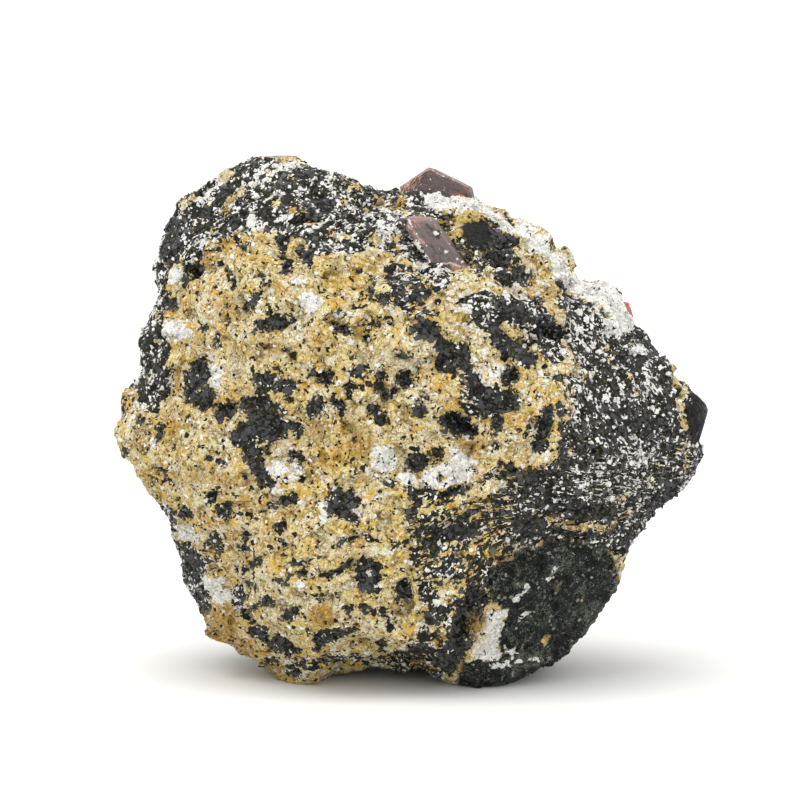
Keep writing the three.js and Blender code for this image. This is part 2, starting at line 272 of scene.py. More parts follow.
@dataclass(frozen=True)
class StoneNoise:
    """Seeded noise in space, the same on every run.

    Attributes:
        seed: sets one noise apart from another.
    """

    seed: int = 1

    def hashed(self, cells: Array, salt: int = 0) -> Array:
        """A number from 0 to 1 for each whole-numbered cell.

        Args:
            cells: whole numbers, three a row.
            salt: sets one draw for a cell apart from another.

        Returns:
            One number for each row.
        """
        key = cells.astype(np.int64).astype(np.uint64)
        mix = key[..., 0] * np.uint64(0x9E3779B1) ^ key[..., 1] * np.uint64(0x85EBCA77)
        mix ^= key[..., 2] * np.uint64(0xC2B2AE3D) ^ np.uint64((self.seed * 131 + salt) * 0x27D4EB2F)
        for _ in range(2):
            mix ^= mix >> np.uint64(15)
            mix = (mix * np.uint64(0x2C1B3C6D)) & np.uint64(0xFFFFFFFF)
            mix ^= mix >> np.uint64(12)
        return mix.astype(np.float64) / 0xFFFFFFFF

    def triples(self, cells: Array, salt: int) -> Array:
        """Three numbers from 0 to 1 for each cell, of the draws from salt on."""
        return np.stack([self.hashed(cells, salt + axis) for axis in range(3)], 1)

    def smooth(self, points: Array) -> Array:
        """Gradient noise of about -1 to 1, with lumps one unit wide.

        Args:
            points: places, three numbers a row.

        Returns:
            One number for each place.
        """
        base = np.floor(points)
        inside = points - base
        ease = inside**3 * (inside * (inside * 6 - 15) + 10)
        total = np.zeros(len(points))
        for corner in np.ndindex(2, 2, 2):
            step = np.array(corner)
            slope = self.triples(base + step, 1) * 2 - 1
            weight = np.prod(np.where(step == 1, ease, 1 - ease), 1)
            total += weight * np.sum(slope * (inside - step), 1)
        return total * 1.4

    def layered(self, points: Array, octaves: int) -> Array:
        """Smooth noise with finer and fainter noise laid on it.

        Args:
            points: places, three numbers a row.
            octaves: how many sizes of lump, each half the last.

        Returns:
            One number for each place, of about -1 to 1.
        """
        total = np.zeros(len(points))
        for octave in range(octaves):
            total += self.smooth(points * 2**octave + 17.3 * octave) / 2**octave
        return total / 1.5

    def broken(self, points: Array) -> tuple[Array, Array]:
        """Flat breaks one unit wide, each with its own height and tilt.

        Args:
            points: places, three numbers a row.

        Returns:
            The height of the break at each place, of about -1 to 1, and its own number from 0 to 1.
        """
        base = np.floor(points)
        nearest = np.full(len(points), np.inf)
        height = np.zeros(len(points))
        own = np.zeros(len(points))
        for step in np.ndindex(3, 3, 3):
            cell = base + np.array(step) - 1
            inside = points - cell - self.triples(cell, 4)
            away = np.linalg.norm(inside, axis=1)
            closer = away < nearest
            nearest[closer] = away[closer]
            tilt = self.triples(cell[closer], 8) * 2 - 1
            lift = self.hashed(cell[closer], 11) - 0.5
            height[closer] = lift + np.sum(tilt * inside[closer], 1)
            own[closer] = self.hashed(cell[closer], 12)
        return height, own


# ---- The show side, and what lies where on it ----


@dataclass(frozen=True)
class ShowView:
    """The view of the show side, in which the stone's patches are placed.

    A place in it is x to the right and y down, in view units from 0 to 800.

    Attributes:
        target: what the view is centred on, mm.
        distance: from the eye to the target, mm.
        elevation: how far above the horizon the eye is, degrees.
        units_per_mm: view units to a millimetre at the target.
        width: the view's width and height in view units.
    """

    target: tuple[float, float, float] = (-1.58, -1.67, 35.8)
    distance: float = 620.0
    elevation: float = 7.0
    units_per_mm: float = 7.72
    width: float = 800.0

    def axes(self) -> tuple[Array, Array, Array, Array]:
        """Works out how the view lies in space.

        Returns:
            The eye in mm, and the directions to the right, up and forward.
        """
        rise = radians(self.elevation)
        forward = np.array([0.0, cos(rise), -sin(rise)])
        right = np.array([1.0, 0.0, 0.0])
        up = np.array([0.0, sin(rise), cos(rise)])
        return np.array(self.target) - forward * self.distance, right, up, forward

    def seen(self, points: Array) -> tuple[Array, Array]:
        """Where places of the stone lie in the view.

        Args:
            points: places in mm, three numbers a row.

        Returns:
            Their x and their y in view units.
        """
        eye, right, up, forward = self.axes()
        away = points - eye
        scale = self.units_per_mm * self.distance / (away @ forward)
        half = self.width / 2
        return half + away @ right * scale, half - away @ up * scale


@dataclass(frozen=True)
class Patch:
    """An oval patch, in view units.

    Attributes:
        x: its middle, to the right.
        y: its middle, down.
        wide: its length along its own axis.
        high: its breadth.
        turn: degrees that its axis is turned clockwise.
    """

    x: float
    y: float
    wide: float
    high: float
    turn: float = 0.0

    def depth(self, x: Array, y: Array) -> Array:
        """How far inside the patch places lie.

        Args:
            x: view units to the right.
            y: view units down.

        Returns:
            Their depths in view units; under 0 is outside.
        """
        angle = radians(self.turn)
        along = (x - self.x) * cos(angle) + (y - self.y) * sin(angle)
        across = (y - self.y) * cos(angle) - (x - self.x) * sin(angle)
        out = np.hypot(along / self.wide, across / self.high) * 2
        return (1 - out) * min(self.wide, self.high) / 2


@dataclass(frozen=True)
class Streak:
    """A narrow patch along a line, in view units.

    Attributes:
        wide: its breadth.
        line: the points that it runs through.
    """

    wide: float
    line: tuple[tuple[float, float], ...]

    def depth(self, x: Array, y: Array) -> Array:
        """How far inside the streak places lie.

        Args:
            x: view units to the right.
            y: view units down.

        Returns:
            Their depths in view units; under 0 is outside.
        """
        nearest = np.full(np.shape(x), np.inf)
        for (ax, ay), (bx, by) in zip(self.line, self.line[1:]):
            run = (bx - ax) ** 2 + (by - ay) ** 2
            share = np.clip(((x - ax) * (bx - ax) + (y - ay) * (by - ay)) / run, 0, 1)
            away = np.hypot(x - ax - share * (bx - ax), y - ay - share * (by - ay))
            nearest = np.minimum(nearest, away)
        return self.wide / 2 - nearest


@dataclass(frozen=True)
class Zone:
    """A large patch inside a closed line, in view units.

    Attributes:
        line: the line's points.
    """

    line: tuple[tuple[float, float], ...]

    def depth(self, x: Array, y: Array) -> Array:
        """How far inside the zone places lie.

        Args:
            x: view units to the right.
            y: view units down.

        Returns:
            Their depths in view units; under 0 is outside.
        """
        edge = -Streak(0.0, self.line + self.line[:1]).depth(x, y)
        inside = np.zeros(np.shape(x), bool)
        for (ax, ay), (bx, by) in zip(self.line, self.line[1:] + self.line[:1]):
            crosses = (ay > y) != (by > y)
            rise = by - ay if by != ay else 1e-9
            inside ^= crosses & (x < (bx - ax) * (y - ay) / rise + ax)
        return np.where(inside, edge, -edge)


def deepest(patches: tuple, x: Array, y: Array) -> Array:
    """How far inside the nearest of several patches places lie.

    Args:
        patches: patches, streaks and zones.
        x: view units to the right.
        y: view units down.

    Returns:
        The largest depth of any of them, in view units.
    """
    return np.max([patch.depth(x, y) for patch in patches], axis=0)


class Fields(Enum):
    """What is stored at each point of the stone for its material."""

    BIOTITE = "biotite"
    CALCITE = "calcite"
    DARK = "dark_share"
    WHITE = "white_share"
    RUST = "rust"
    SLIP = "slip"
    HOLLOW = "hollow"
    PIT = "pit"
    BOOK = "book"
    BLOCK = "block"
    LAYER = "layer"


Shape = Patch | Streak | Zone


def shape(*row: float | tuple[float, float]) -> Shape:
    """Makes the shape that a row of numbers or points stands for.

    Args:
        *row: a patch's numbers, a streak's breadth and points, or a zone's points alone.

    Returns:
        The shape.
    """
    if isinstance(row[0], tuple):
        return Zone(row)
    return Streak(row[0], row[1:]) if isinstance(row[1], tuple) else Patch(*row)


def shapes(*rows: tuple) -> tuple[Shape, ...]:
    """Makes a shape of each row."""
    return tuple(shape(*row) for row in rows)


@dataclass(frozen=True)
class Mix:
    """A place where dark and light grains are mixed.

    Attributes:
        shape: the patch, streak or zone that it fills.
        dark: the share of dark grains.
        white: the share of white and grey ones among the light grains; the rest are tan.
    """

    shape: Shape
    dark: float
    white: float


def mixed(*rows: tuple) -> tuple[Mix, ...]:
    """Makes a mix of each row: its dark and white shares, then its shape's own row."""
    return tuple(Mix(shape(*row), dark, white) for dark, white, *row in rows)


@dataclass(frozen=True)
class Layering:
    """The bend of the rock's layers on the show side: an arch over flatter sheets and a lower fan.

    Attributes:
        heart_x: the arch's middle, view units to the right.
        heart_y: the arch's middle, view units down.
        dip: degrees that the sheets below it rise to the right.
        arch_end: view units down where the arch begins to pass into the sheets.
        sheets_start: view units down where only the sheets are left.
        fan_x: what the layers at the lower right curve round, view units to the right.
        fan_y: and view units down.
        fan_start: view units to the right where the sheets begin to pass into the fan.
        fan_end: view units to the right where only the fan is left.
        depth_share: how fast the layers change toward the back.
        waver: how far the layers waver, mm.
        waver_width: breadth of the wavering, mm.
    """

    heart_x: float = 425.0
    heart_y: float = 500.0
    dip: float = 20.0
    arch_end: float = 430.0
    sheets_start: float = 540.0
    fan_x: float = 610.0
    fan_y: float = 690.0
    fan_start: float = 370.0
    fan_end: float = 450.0
    depth_share: float = 0.35
    waver: float = 1.6
    waver_width: float = 5.5

    def across(self, points: Array, view: ShowView) -> Array:
        """How far across the layers places lie.

        Args:
            points: places in mm.
            view: the show view.

        Returns:
            One distance in mm for each place.
        """
        x, y = view.seen(points)
        arch = -np.hypot(x - self.heart_x, y - self.heart_y)
        rise = radians(self.dip)
        sheets = (y - self.heart_y) * cos(rise) + (x - self.heart_x) * sin(rise)
        reach = np.hypot(self.heart_x - self.fan_x, self.heart_y - self.fan_y)
        fan = reach - np.hypot(x - self.fan_x, y - self.fan_y)
        sheets = sheets + smoothstep(self.fan_start, self.fan_end, x) * (fan - sheets)
        share = smoothstep(self.arch_end, self.sheets_start, y)
        flat = ((1 - share) * arch + share * sheets) / view.units_per_mm
        waver = StoneNoise(15).layered(points / self.waver_width, 2) * self.waver
        return flat + self.depth_share * points[:, 1] + waver


@dataclass(frozen=True)
class MineralMap:
    """Which mineral shows where on the stone.

    Attributes:
        view: the view that the patches are placed in.
        layering: the bend of the layers.
        ground: the dark and white shares of the feldspar field, which the mixes are laid on.
        mixes: places of other shares, the later ones on top.
        biotite: black mica patches.
        over: black patches that lie over the white ones.
        calcite: white patches.
        rust: iron-stained places.
        pits: deep hollows.
        books: thick mica crystals that show one smooth face.
        slip: the green-black slip face.
        slip_gaps: where the rock shows through it.
        behind_start: mm behind the rim where the placed patches begin to give way.
        behind_end: mm behind the rim where only scattered ones are left.
        rim_start: the same for white patches where the stone faces up, which run on over the rim.
        rim_end: where only scattered white ones are left.
        edge_wander: how far the patches' edges wander, view units.
        wander_width: breadth of the wandering, mm.
    """

    view: ShowView = ShowView()
    layering: Layering = Layering()
    ground: tuple[float, float] = (0.06, 0.05)
    mixes: tuple[Mix, ...] = mixed(
        # the cap along the upper left rim
        (0.68, 0.7, (120, 300), (145, 215), (195, 160), (265, 135), (335, 145), (375, 170), (425, 178),
         (436, 205), (432, 240), (456, 284), (434, 292), (418, 268), (404, 252), (372, 247), (345, 253),
         (320, 258), (306, 238), (286, 232), (262, 232), (238, 230), (227, 240), (208, 243), (200, 257),
         (183, 262), (167, 262), (165, 330), (171, 346), (170, 384), (157, 412), (143, 408), (128, 384),
         (128, 330)),
        (0.55, 0.8, 372, 226, 80, 34, 10), (0.15, 0.7, 9, (258, 181), (272, 173), (288, 166)),
        (0.15, 0.9, 10, (204, 200), (212, 186), (220, 180)), (0.4, 0.95, 298, 192, 22, 16, 30),
        (0.08, 0.05, 189, 202, 22, 9, -28), (0.08, 0.05, 226, 177, 18, 9, -35),
        (0.05, 0.2, 289, 160, 40, 9, 4), (0.1, 0.1, 242, 191, 9, 18, 20), (0.08, 0.05, 277, 200, 13, 13),
        (0.15, 0.1, 9, (224, 214), (230, 203), (234, 196)), (0.2, 0.2, 213, 226, 10, 20, 25),
        (0.12, 0.05, 354, 188, 24, 8, 32), (0.1, 0.4, 345, 203, 16, 7, 10), (0.05, 0.05, 378, 203, 8, 8),
        (0.1, 0.5, 6, (381, 209), (392, 211), (405, 210)), (0.2, 0.0, 398, 200, 14, 6, 8),
        (0.1, 0.1, 339, 236, 24, 13, 15), (0.1, 0.05, 374, 240, 15, 14), (0.08, 0.1, 398, 240, 13, 16),
        (0.35, 0.15, 300, 216, 34, 12, 20),
        # beside the slope crystal
        (0.5, 0.8, 20, (410, 238), (426, 264), (442, 284)), (0.5, 0.1, 442, 226, 26, 24),
        (0.08, 0.1, 11, (450, 236), (466, 248), (478, 262), (490, 272)), (0.1, 0.0, 474, 215, 20, 11, 18),
        (0.1, 0.2, 466, 288, 28, 26, 20), (0.08, 0.3, 500, 288, 42, 13, 12),
        (0.55, 0.4, (384, 266), (409, 264), (430, 298), (432, 320), (408, 316), (390, 292)),
        (0.08, 0.05, 440, 305, 24, 24, 20), (0.2, 0.2, 388, 326, 18, 26, 10),
        # the right upper slope, where dark and tan strips run down to the right
        (0.6, 0.75, (455, 302), (486, 290), (532, 300), (560, 320), (540, 366), (505, 352), (485, 330)),
        (0.06, 0.35, 518, 291, 46, 15, 14), (0.08, 0.05, 518, 248, 15, 17, 10),
        (0.07, 0.1, 538, 268, 28, 34, 25), (0.05, 0.4, 529, 287, 38, 18, 12),
        (0.05, 0.05, 556, 311, 24, 38, -25), (0.1, 0.1, 9, (564, 318), (570, 332), (574, 346)),
        (0.07, 0.1, 13, (503, 325), (520, 336), (534, 350), (545, 364)), (0.08, 0.1, 556, 362, 30, 18, 10),
        (0.08, 0.35, 468, 332, 34, 20, 8), (0.08, 0.3, 489, 362, 36, 42, 10),
        (0.07, 0.15, 540, 385, 54, 32, 8), (0.1, 0.15, 527, 448, 54, 40, -30), (0.1, 0.4, 576, 374, 16, 14),
        (0.4, 0.6, 14, (577, 380), (576, 410), (570, 440)), (0.5, 0.95, 552, 350, 28, 20, 20),
        (0.58, 0.9, (560, 290), (580, 300), (603, 318), (622, 336), (612, 352), (598, 370), (584, 372),
         (570, 344)),
        # the dark right flank
        (1.12, 0.85, (620, 334), (640, 322), (705, 368), (722, 410), (712, 455), (655, 530), (620, 552),
         (560, 536), (520, 545), (500, 520), (512, 484), (552, 462), (568, 446), (578, 410), (586, 380),
         (600, 364), (612, 348)),
        (0.7, 1.0, 632, 457, 60, 44, -10), (0.66, 0.75, 590, 478, 40, 52, 10),
        (0.66, 1.0, 615, 398, 18, 32), (0.8, 0.9, 650, 392, 34, 40, 30),
        (0.6, 0.6, 12, (610, 500), (650, 478), (684, 448)),
        (0.1, 0.1, 10, (672, 372), (682, 394), (686, 428)), (0.1, 0.1, 6, (688, 444), (686, 470)),
        (0.1, 0.2, 5, (600, 340), (607, 354), (613, 366)), (0.1, 0.2, 5, (628, 375), (637, 394)),
        (0.15, 0.1, 9, (536, 513), (560, 524), (606, 526)),
        (0.35, 0.3, 6, (560, 545), (600, 532), (640, 505)),
        # the sheets under the white patch
        (0.5, 0.2, (415, 500), (470, 488), (500, 466), (522, 470), (510, 520), (520, 548), (500, 560),
         (482, 592), (455, 604), (436, 562), (416, 540), (398, 520)),
        (0.12, 0.1, 9, (424, 512), (460, 504), (506, 482)),
        (0.15, 0.2, 7, (455, 556), (475, 548), (500, 530)), (0.12, 0.1, 488, 487, 40, 16, -20),
        (0.08, 0.0, 471, 447, 36, 14, -4), (0.72, 0.5, 481, 400, 42, 36, 20),
        (0.5, 0.25, (408, 546), (470, 560), (482, 596), (456, 640), (440, 676), (398, 672), (425, 612)),
        (0.1, 0.0, 446, 590, 24, 24), (0.12, 0.05, 406, 632, 24, 26), (0.35, 0.7, 437, 603, 15, 16),
        (0.45, 0.6, 448, 570, 38, 12, -8), (0.4, 0.3, 10, (290, 664), (350, 656), (400, 664), (450, 668)),
        # the lower left rim
        (0.66, 0.7, (160, 500), (176, 508), (174, 540), (190, 545), (207, 560), (206, 616), (188, 608),
         (165, 560)),
        (0.5, 0.3, 214, 548, 18, 26), (0.5, 0.5, 238, 600, 16, 30, -10), (0.5, 0.5, 256, 630, 22, 18, 20),
        (0.1, 0.1, 130, 415, 26, 60, 8),
    )
    biotite: tuple = shapes(
        # in the cap
        (171, 240, 19, 56, 14), (209, 217, 16, 24, 15), (225, 191, 12, 20, 20), (237, 220, 20, 14, -20),
        (304, 175, 34, 12, 8), (255, 165, 16, 8, -20), (281, 187, 26, 8, 12), (326, 207, 22, 18, 30),
        (352, 244, 22, 6, -4),
        # upper left, in the tan field
        (10, (282, 236), (284, 250), (288, 266)), (8, (300, 252), (308, 262)), (306, 252, 16, 14, 20),
        (6, (238, 238), (242, 243), (248, 249)), (6, (221, 264), (228, 272), (232, 286)),
        (213, 252, 16, 7, -25), (191, 270, 20, 18, -20), (200, 264, 10, 12), (182, 283, 9, 12),
        (171, 303, 12, 18), (259, 274, 7, 7), (265, 283, 4, 4), (254, 298, 6, 11),
        (7, (240, 308), (248, 304), (256, 297)), (6, (247, 312), (254, 320), (259, 324)),
        (276, 320, 24, 18, -12), (262, 325, 14, 12), (229, 320, 8, 13), (202, 326, 10, 8), (216, 341, 9, 8),
        (199, 358, 8, 5, -20), (209, 360, 5, 9, 30), (197, 375, 27, 30, 15), (188, 392, 14, 20, 15),
        (265, 379, 22, 24, 10), (284, 385, 28, 18, 18), (322, 376, 28, 15, 18), (345, 329, 15, 13, 20),
        (371, 286, 7, 24, 6), (360, 273, 10, 6, -15), (361, 297, 5, 7), (385, 299, 14, 13, 20),
        (376, 325, 6, 8), (366, 339, 7, 7), (331, 321, 5, 5), (338, 310, 11, 6, -10), (356, 307, 6, 4),
        (350, 390, 11, 18, 10), (360, 370, 20, 11, -25), (384, 391, 28, 13, 35), (382, 376, 9, 11, 20),
        (404, 380, 16, 17, 35), (379, 413, 32, 13, 35), (420, 410, 20, 14, 40), (403, 355, 18, 11),
        (424, 396, 6, 6), (440, 392, 5, 5), (316, 407, 20, 22, 10), (338, 404, 8, 30, -20),
        # the large one left of the middle and its tail
        (203, 398, 27, 27, 20), (224, 410, 28, 17, -8), (262, 408, 40, 26, 10), (268, 427, 44, 34, 8),
        (292, 428, 26, 13, 15), (243, 438, 24, 34, -18), (17, (246, 446), (256, 462), (267, 482)),
        (288, 499, 30, 10, -22), (294, 458, 22, 13, 20), (4, (268, 446), (272, 458)), (160, 432, 15, 18),
        (4, (204, 456), (214, 462), (230, 461)), (141, 422, 12, 9, -30), (5, (162, 468), (170, 482)),
        (125, 450, 6, 14, 10), (152, 478, 10, 6, 35),
        # lower left
        (213, 496, 13, 15, 20), (225, 509, 17, 22, 15), (341, 503, 32, 34, 35), (350, 516, 24, 12, 30),
        (185, 514, 22, 13, 25), (171, 520, 6, 22, 5), (243, 516, 19, 6, 5), (263, 513, 8, 7),
        (280, 527, 10, 10), (245, 536, 11, 7), (244, 548, 12, 9, -10), (282, 545, 5, 13, 5),
        (193, 562, 19, 38, -22), (195, 596, 14, 13), (203, 608, 11, 14), (256, 563, 20, 9, -35),
        (233, 568, 5, 9, -20), (264, 603, 22, 12, -8), (287, 616, 13, 8, 15), (296, 611, 10, 10),
        (247, 583, 10, 8), (283, 580, 14, 9), (4, (284, 566), (300, 562), (326, 556)),
        (5, (330, 551), (342, 541), (360, 536)), (4, (290, 576), (302, 571), (313, 568)),
        (6, (326, 574), (340, 569), (352, 564)), (3, (360, 536), (378, 542), (412, 541)),
        (369, 575, 28, 34, 10), (403, 592, 20, 24, 20), (436, 617, 26, 18, -25), (461, 577, 12, 12),
        (281, 645, 44, 16, 10), (256, 633, 12, 10), (322, 640, 18, 20, 40), (336, 632, 22, 12, -35),
        (320, 661, 14, 8), (292, 673, 16, 13), (271, 662, 16, 8), (381, 644, 10, 14), (366, 609, 11, 9),
        (380, 611, 14, 9, -20), (350, 611, 10, 12, 20), (243, 595, 9, 11), (246, 611, 9, 14, -20),
        (391, 626, 10, 10), (401, 655, 20, 11, 10), (336, 661, 16, 8, -10), (350, 629, 14, 9, -20),
        (320, 596, 9, 6, 30), (308, 632, 8, 9),
        # middle and right of the middle
        (418, 294, 14, 26, -15), (430, 330, 36, 22, 25), (449, 348, 34, 20, 30), (465, 358, 14, 30, -10),
        (471, 378, 20, 16, 30), (479, 315, 24, 11, -12), (508, 307, 32, 15, 25), (521, 314, 22, 18, 30),
        (551, 328, 38, 22, 30), (538, 299, 13, 7, 15), (14, (495, 322), (499, 338), (510, 350)),
        (523, 354, 32, 20, 35), (510, 374, 14, 22, -5), (486, 396, 30, 26, 20), (509, 402, 26, 24, 10),
        (458, 426, 40, 24, 20), (13, (549, 410), (544, 430), (538, 448)), (561, 376, 14, 10),
        (417, 461, 25, 24, 10), (437, 454, 14, 12),
        (8, (408, 478), (412, 494), (424, 492), (442, 493), (462, 489)),
        (3, (462, 490), (482, 480), (502, 464)), (3, (371, 472), (384, 479), (397, 484)),
        (535, 476, 38, 16, -4), (464, 530, 42, 23, -8), (433, 531, 17, 12, -20), (532, 526, 40, 26, 6),
        (9, (546, 508), (580, 512), (612, 510)), (24, (478, 600), (468, 618), (460, 640), (448, 664)),
        (500, 572, 26, 40, 38), (704, 412, 32, 60, -4), (449, 364, 26, 22), (497, 420, 14, 26),
        (4, (498, 428), (494, 440), (492, 452), (486, 460)), (508, 468, 20, 12, -15), (524, 436, 6, 9),
        (9, (561, 404), (563, 440), (560, 476)), (8, (552, 541), (580, 536), (606, 534)),
        (401, 298, 10, 20, 10), (3, (547, 371), (556, 380), (566, 384), (567, 396)), (293, 320, 6, 7),
        (306, 325, 6, 7), (251, 367, 5, 7, -20), (277, 370, 9, 8), (290, 400, 6, 8), (296, 409, 7, 6),
        (303, 479, 7, 7), (3, (282, 346), (288, 350), (294, 357)), (8, (458, 240), (468, 252), (480, 272)),
        (655, 346, 40, 22, 40), (640, 420, 30, 26, 20), (660, 500, 50, 16, -35),
        # the mica book under the crest and what lies round it
        (487, 233, 50, 25, 8), (508, 240, 26, 16, 20), (497, 255, 38, 24, 8), (516, 275, 40, 20, 15),
        (504, 279, 18, 8, 8),
    )
    over: tuple = shapes(
        (508, 219, 16, 7, 25), (538, 232, 10, 3, 10), (552, 244, 7, 14, -30),
        (3, (556, 250), (566, 264), (573, 281)), (8, (559, 284), (574, 296), (590, 306)),
        (604, 313, 10, 4, 40), (448, 216, 9, 9), (430, 209, 8, 6), (441, 478, 8, 7), (424, 470, 8, 6),
        (2.5, (430, 462), (442, 460), (452, 455)),
    )
    calcite: tuple = shapes(
        ((418, 189), (440, 189), (474, 199), (480, 212), (460, 214), (452, 210), (440, 214), (424, 200)),
        (404, 192, 50, 4, 2),
        (20, (474, 199), (500, 210), (524, 220), (548, 224), (562, 240), (574, 264), (584, 280)),
        (16, (584, 284), (606, 291), (624, 304), (636, 320)),
        ((478, 206), (500, 212), (521, 225), (541, 220), (553, 232), (566, 252), (573, 268), (578, 284),
         (602, 290), (620, 303), (634, 316), (632, 330), (619, 334), (609, 332), (600, 316), (578, 306),
         (563, 292), (555, 282), (549, 261), (532, 252), (524, 240), (505, 229), (480, 214)),
        (178, 330, 26, 22), (174, 274, 14, 20), (254, 223, 14, 18, -15), (310, 303, 26, 20, -20),
        (300, 283, 16, 9), (4, (208, 350), (210, 362), (218, 372)), (218, 380, 13, 13),
        (324, 513, 9, 22, 8), (465, 310, 19, 11), (505, 270, 15, 6, 10), (481, 250, 8, 4, -50),
        (384, 459, 27, 30, 10), (406, 477, 22, 13, 15), (446, 475, 54, 24, -8), (460, 458, 34, 16, 15),
        (277, 468, 18, 18, 20), (294, 470, 14, 18, 15), (278, 490, 10, 14), (189, 535, 30, 15, 25),
        (213, 582, 22, 18, 15), (220, 597, 18, 15), (299, 588, 12, 11), (336, 497, 5, 6),
        (355, 512, 7, 5, 30), (260, 380, 4, 5), (277, 379, 5, 4), (370, 574, 6, 6), (637, 352, 18, 10, 5),
        (3, (508, 606), (518, 596), (527, 588)), (4, (546, 580), (555, 569)), (3, (520, 622), (530, 612)),
        (511, 651, 22, 7, 38),
        ((487, 610), (508, 611), (502, 630), (498, 648), (500, 660), (478, 660), (468, 654), (478, 634),
         (484, 624)),
        (3, (484, 664), (500, 667), (524, 660)), (3, (525, 659), (539, 661)),
    )
    rust: tuple = shapes(
        (211, 258, 14, 18), (315, 428, 20, 24, 10), (362, 442, 28, 28, 20), (220, 628, 36, 46, -30),
        (244, 646, 34, 18, 20), (268, 672, 30, 16, 20), (436, 305, 8, 14), (184, 343, 14, 9),
        (228, 308, 24, 20), (444, 226, 22, 20, 30), (552, 290, 10, 16), (322, 615, 26, 20),
        (505, 558, 22, 16, 40), (200, 544, 16, 6, 30), (226, 481, 60, 12, 8), (622, 580, 8, 26, 15),
        (475, 222, 16, 8, 15), (398, 200, 10, 5), (472, 447, 26, 12), (270, 350, 50, 14, 8),
        (481, 634, 20, 40, 14), (546, 641, 14, 12),
    )
    pits: tuple = shapes(
        (487, 249, 18, 12, 10), (506, 243, 18, 10, 30), (500, 262, 30, 12, 10), (462, 425, 36, 18, 22),
        (551, 331, 34, 16, 30), (513, 375, 12, 20), (191, 271, 17, 14, -20), (405, 586, 14, 14),
        (546, 430, 10, 26, 15), (16, (476, 600), (468, 618), (460, 638)),
        (6, (552, 509), (582, 512), (606, 511)), (225, 408, 20, 8), (214, 494, 8, 10), (368, 286, 5, 16),
        (288, 262, 5, 12, 20), (226, 336, 13, 6, 10), (270, 347, 15, 5, 8), (287, 352, 10, 6, 30),
    )
    books: tuple = shapes(
        ((460, 228), (467, 223), (481, 221), (489, 226), (494, 232), (494, 239), (489, 244), (480, 247),
         (470, 245), (462, 237)),
        ((689, 384), (698, 378), (722, 390), (724, 430), (706, 444), (692, 442), (688, 420), (691, 400)),
    )
    slip: Zone = Zone(
        ((458, 690), (462, 664), (476, 658), (500, 661), (499, 640), (509, 611), (494, 604), (486, 590),
         (502, 566), (522, 548), (560, 540), (600, 544), (616, 558), (618, 578), (613, 600), (607, 614),
         (640, 640), (580, 690))
    )
    slip_gaps: tuple = shapes((546, 641, 11, 8))
    behind_start: float = 3.0
    behind_end: float = 12.0
    rim_start: float = 16.0
    rim_end: float = 23.0
    edge_wander: float = 5.5
    wander_width: float = 1.5

    def fields(self, points: Array, normals: Array) -> dict[Fields, Array]:
        """Works out the minerals at points of the stone.

        Args:
            points: places in mm.
            normals: the surface's directions there.

        Returns:
            BIOTITE and CALCITE as mm inside their edges, LAYER in mm, the others as shares.
        """
        per_mm = self.view.units_per_mm
        x, y = self.view.seen(points)
        shown = 1 - smoothstep(self.behind_start, self.behind_end, points[:, 1])
        # Faces that the view sees edge-on keep less of the patches, which would be drawn out on them.
        edge_on = smoothstep(0.3, 0.0, -normals[:, 1]) * smoothstep(-8, 0, points[:, 1])
        placed = shown * (1 - 0.6 * edge_on)
        topped = 1 - smoothstep(self.rim_start, self.rim_end, points[:, 1])
        topped *= smoothstep(0.0, 0.35, normals[:, 2])
        rimmed = np.maximum(shown, topped) * (1 - 0.2 * edge_on)
        # Where nothing is placed, minerals are scattered by these alone.
        broad = StoneNoise(11).layered(points / (13, 13, 8), 2)
        patchy = StoneNoise(12).layered(points / (5.2, 5.2, 3.4), 3)
        other = StoneNoise(13).layered(points / 7.5, 3)
        wandering = points / self.wander_width
        wander = StoneNoise(14).layered(wandering, 2) * 0.28
        x = x + self.edge_wander * StoneNoise(16).layered(wandering, 3)
        y = y + self.edge_wander * StoneNoise(17).layered(wandering, 3)
        biotite = deepest(self.biotite, x, y) / per_mm
        over = deepest(self.over, x, y) / per_mm
        biotite = np.maximum(biotite, over)
        calcite = np.minimum(deepest(self.calcite, x, y) / per_mm, -over)
        dark = np.full(len(points), self.ground[0])
        white = np.full(len(points), self.ground[1])
        for mix in self.mixes:
            share = smoothstep(-2.5, 2.5, mix.shape.depth(x, y))
            dark += share * (mix.dark - dark)
            white += share * (mix.white - white)
        pit = smoothstep(-1.5, 6, deepest(self.pits, x, y)) * shown
        rust = smoothstep(-5, 6, deepest(self.rust, x, y) + 4 * patchy)
        gap = deepest(self.slip_gaps, x, y)
        slip = smoothstep(-1.5, 1.5, np.minimum(self.slip.depth(x, y), -gap)) * shown
        slip = smoothstep(0.38, 0.62, slip * (1 + 0.8 * patchy))
        book = smoothstep(-1.0, 0.5, deepest(self.books, x, y)) * shown
        far_dark = 0.08 + 0.7 * smoothstep(-0.1, 0.3, broad + 0.3 * other)
        far_white = 0.75 * smoothstep(-0.1, 0.35, other - 0.4 * broad)
        return {
            Fields.BIOTITE: np.clip(placed * biotite + (1 - placed) * (patchy * 3.2 - 0.7) + wander, -3, 3),
            Fields.CALCITE: np.clip(rimmed * calcite + (1 - rimmed) * (other * 3.4 - 2.3), -3, 3),
            Fields.DARK: placed * dark + (1 - placed) * far_dark,
            Fields.WHITE: placed * white + (1 - placed) * far_white,
            Fields.RUST: placed * rust + (1 - placed) * smoothstep(0.25, 0.7, other),
            Fields.SLIP: slip,
            Fields.PIT: pit,
            Fields.BOOK: book,
            Fields.LAYER: self.layering.across(points, self.view),
        }


# ---- The stone ----


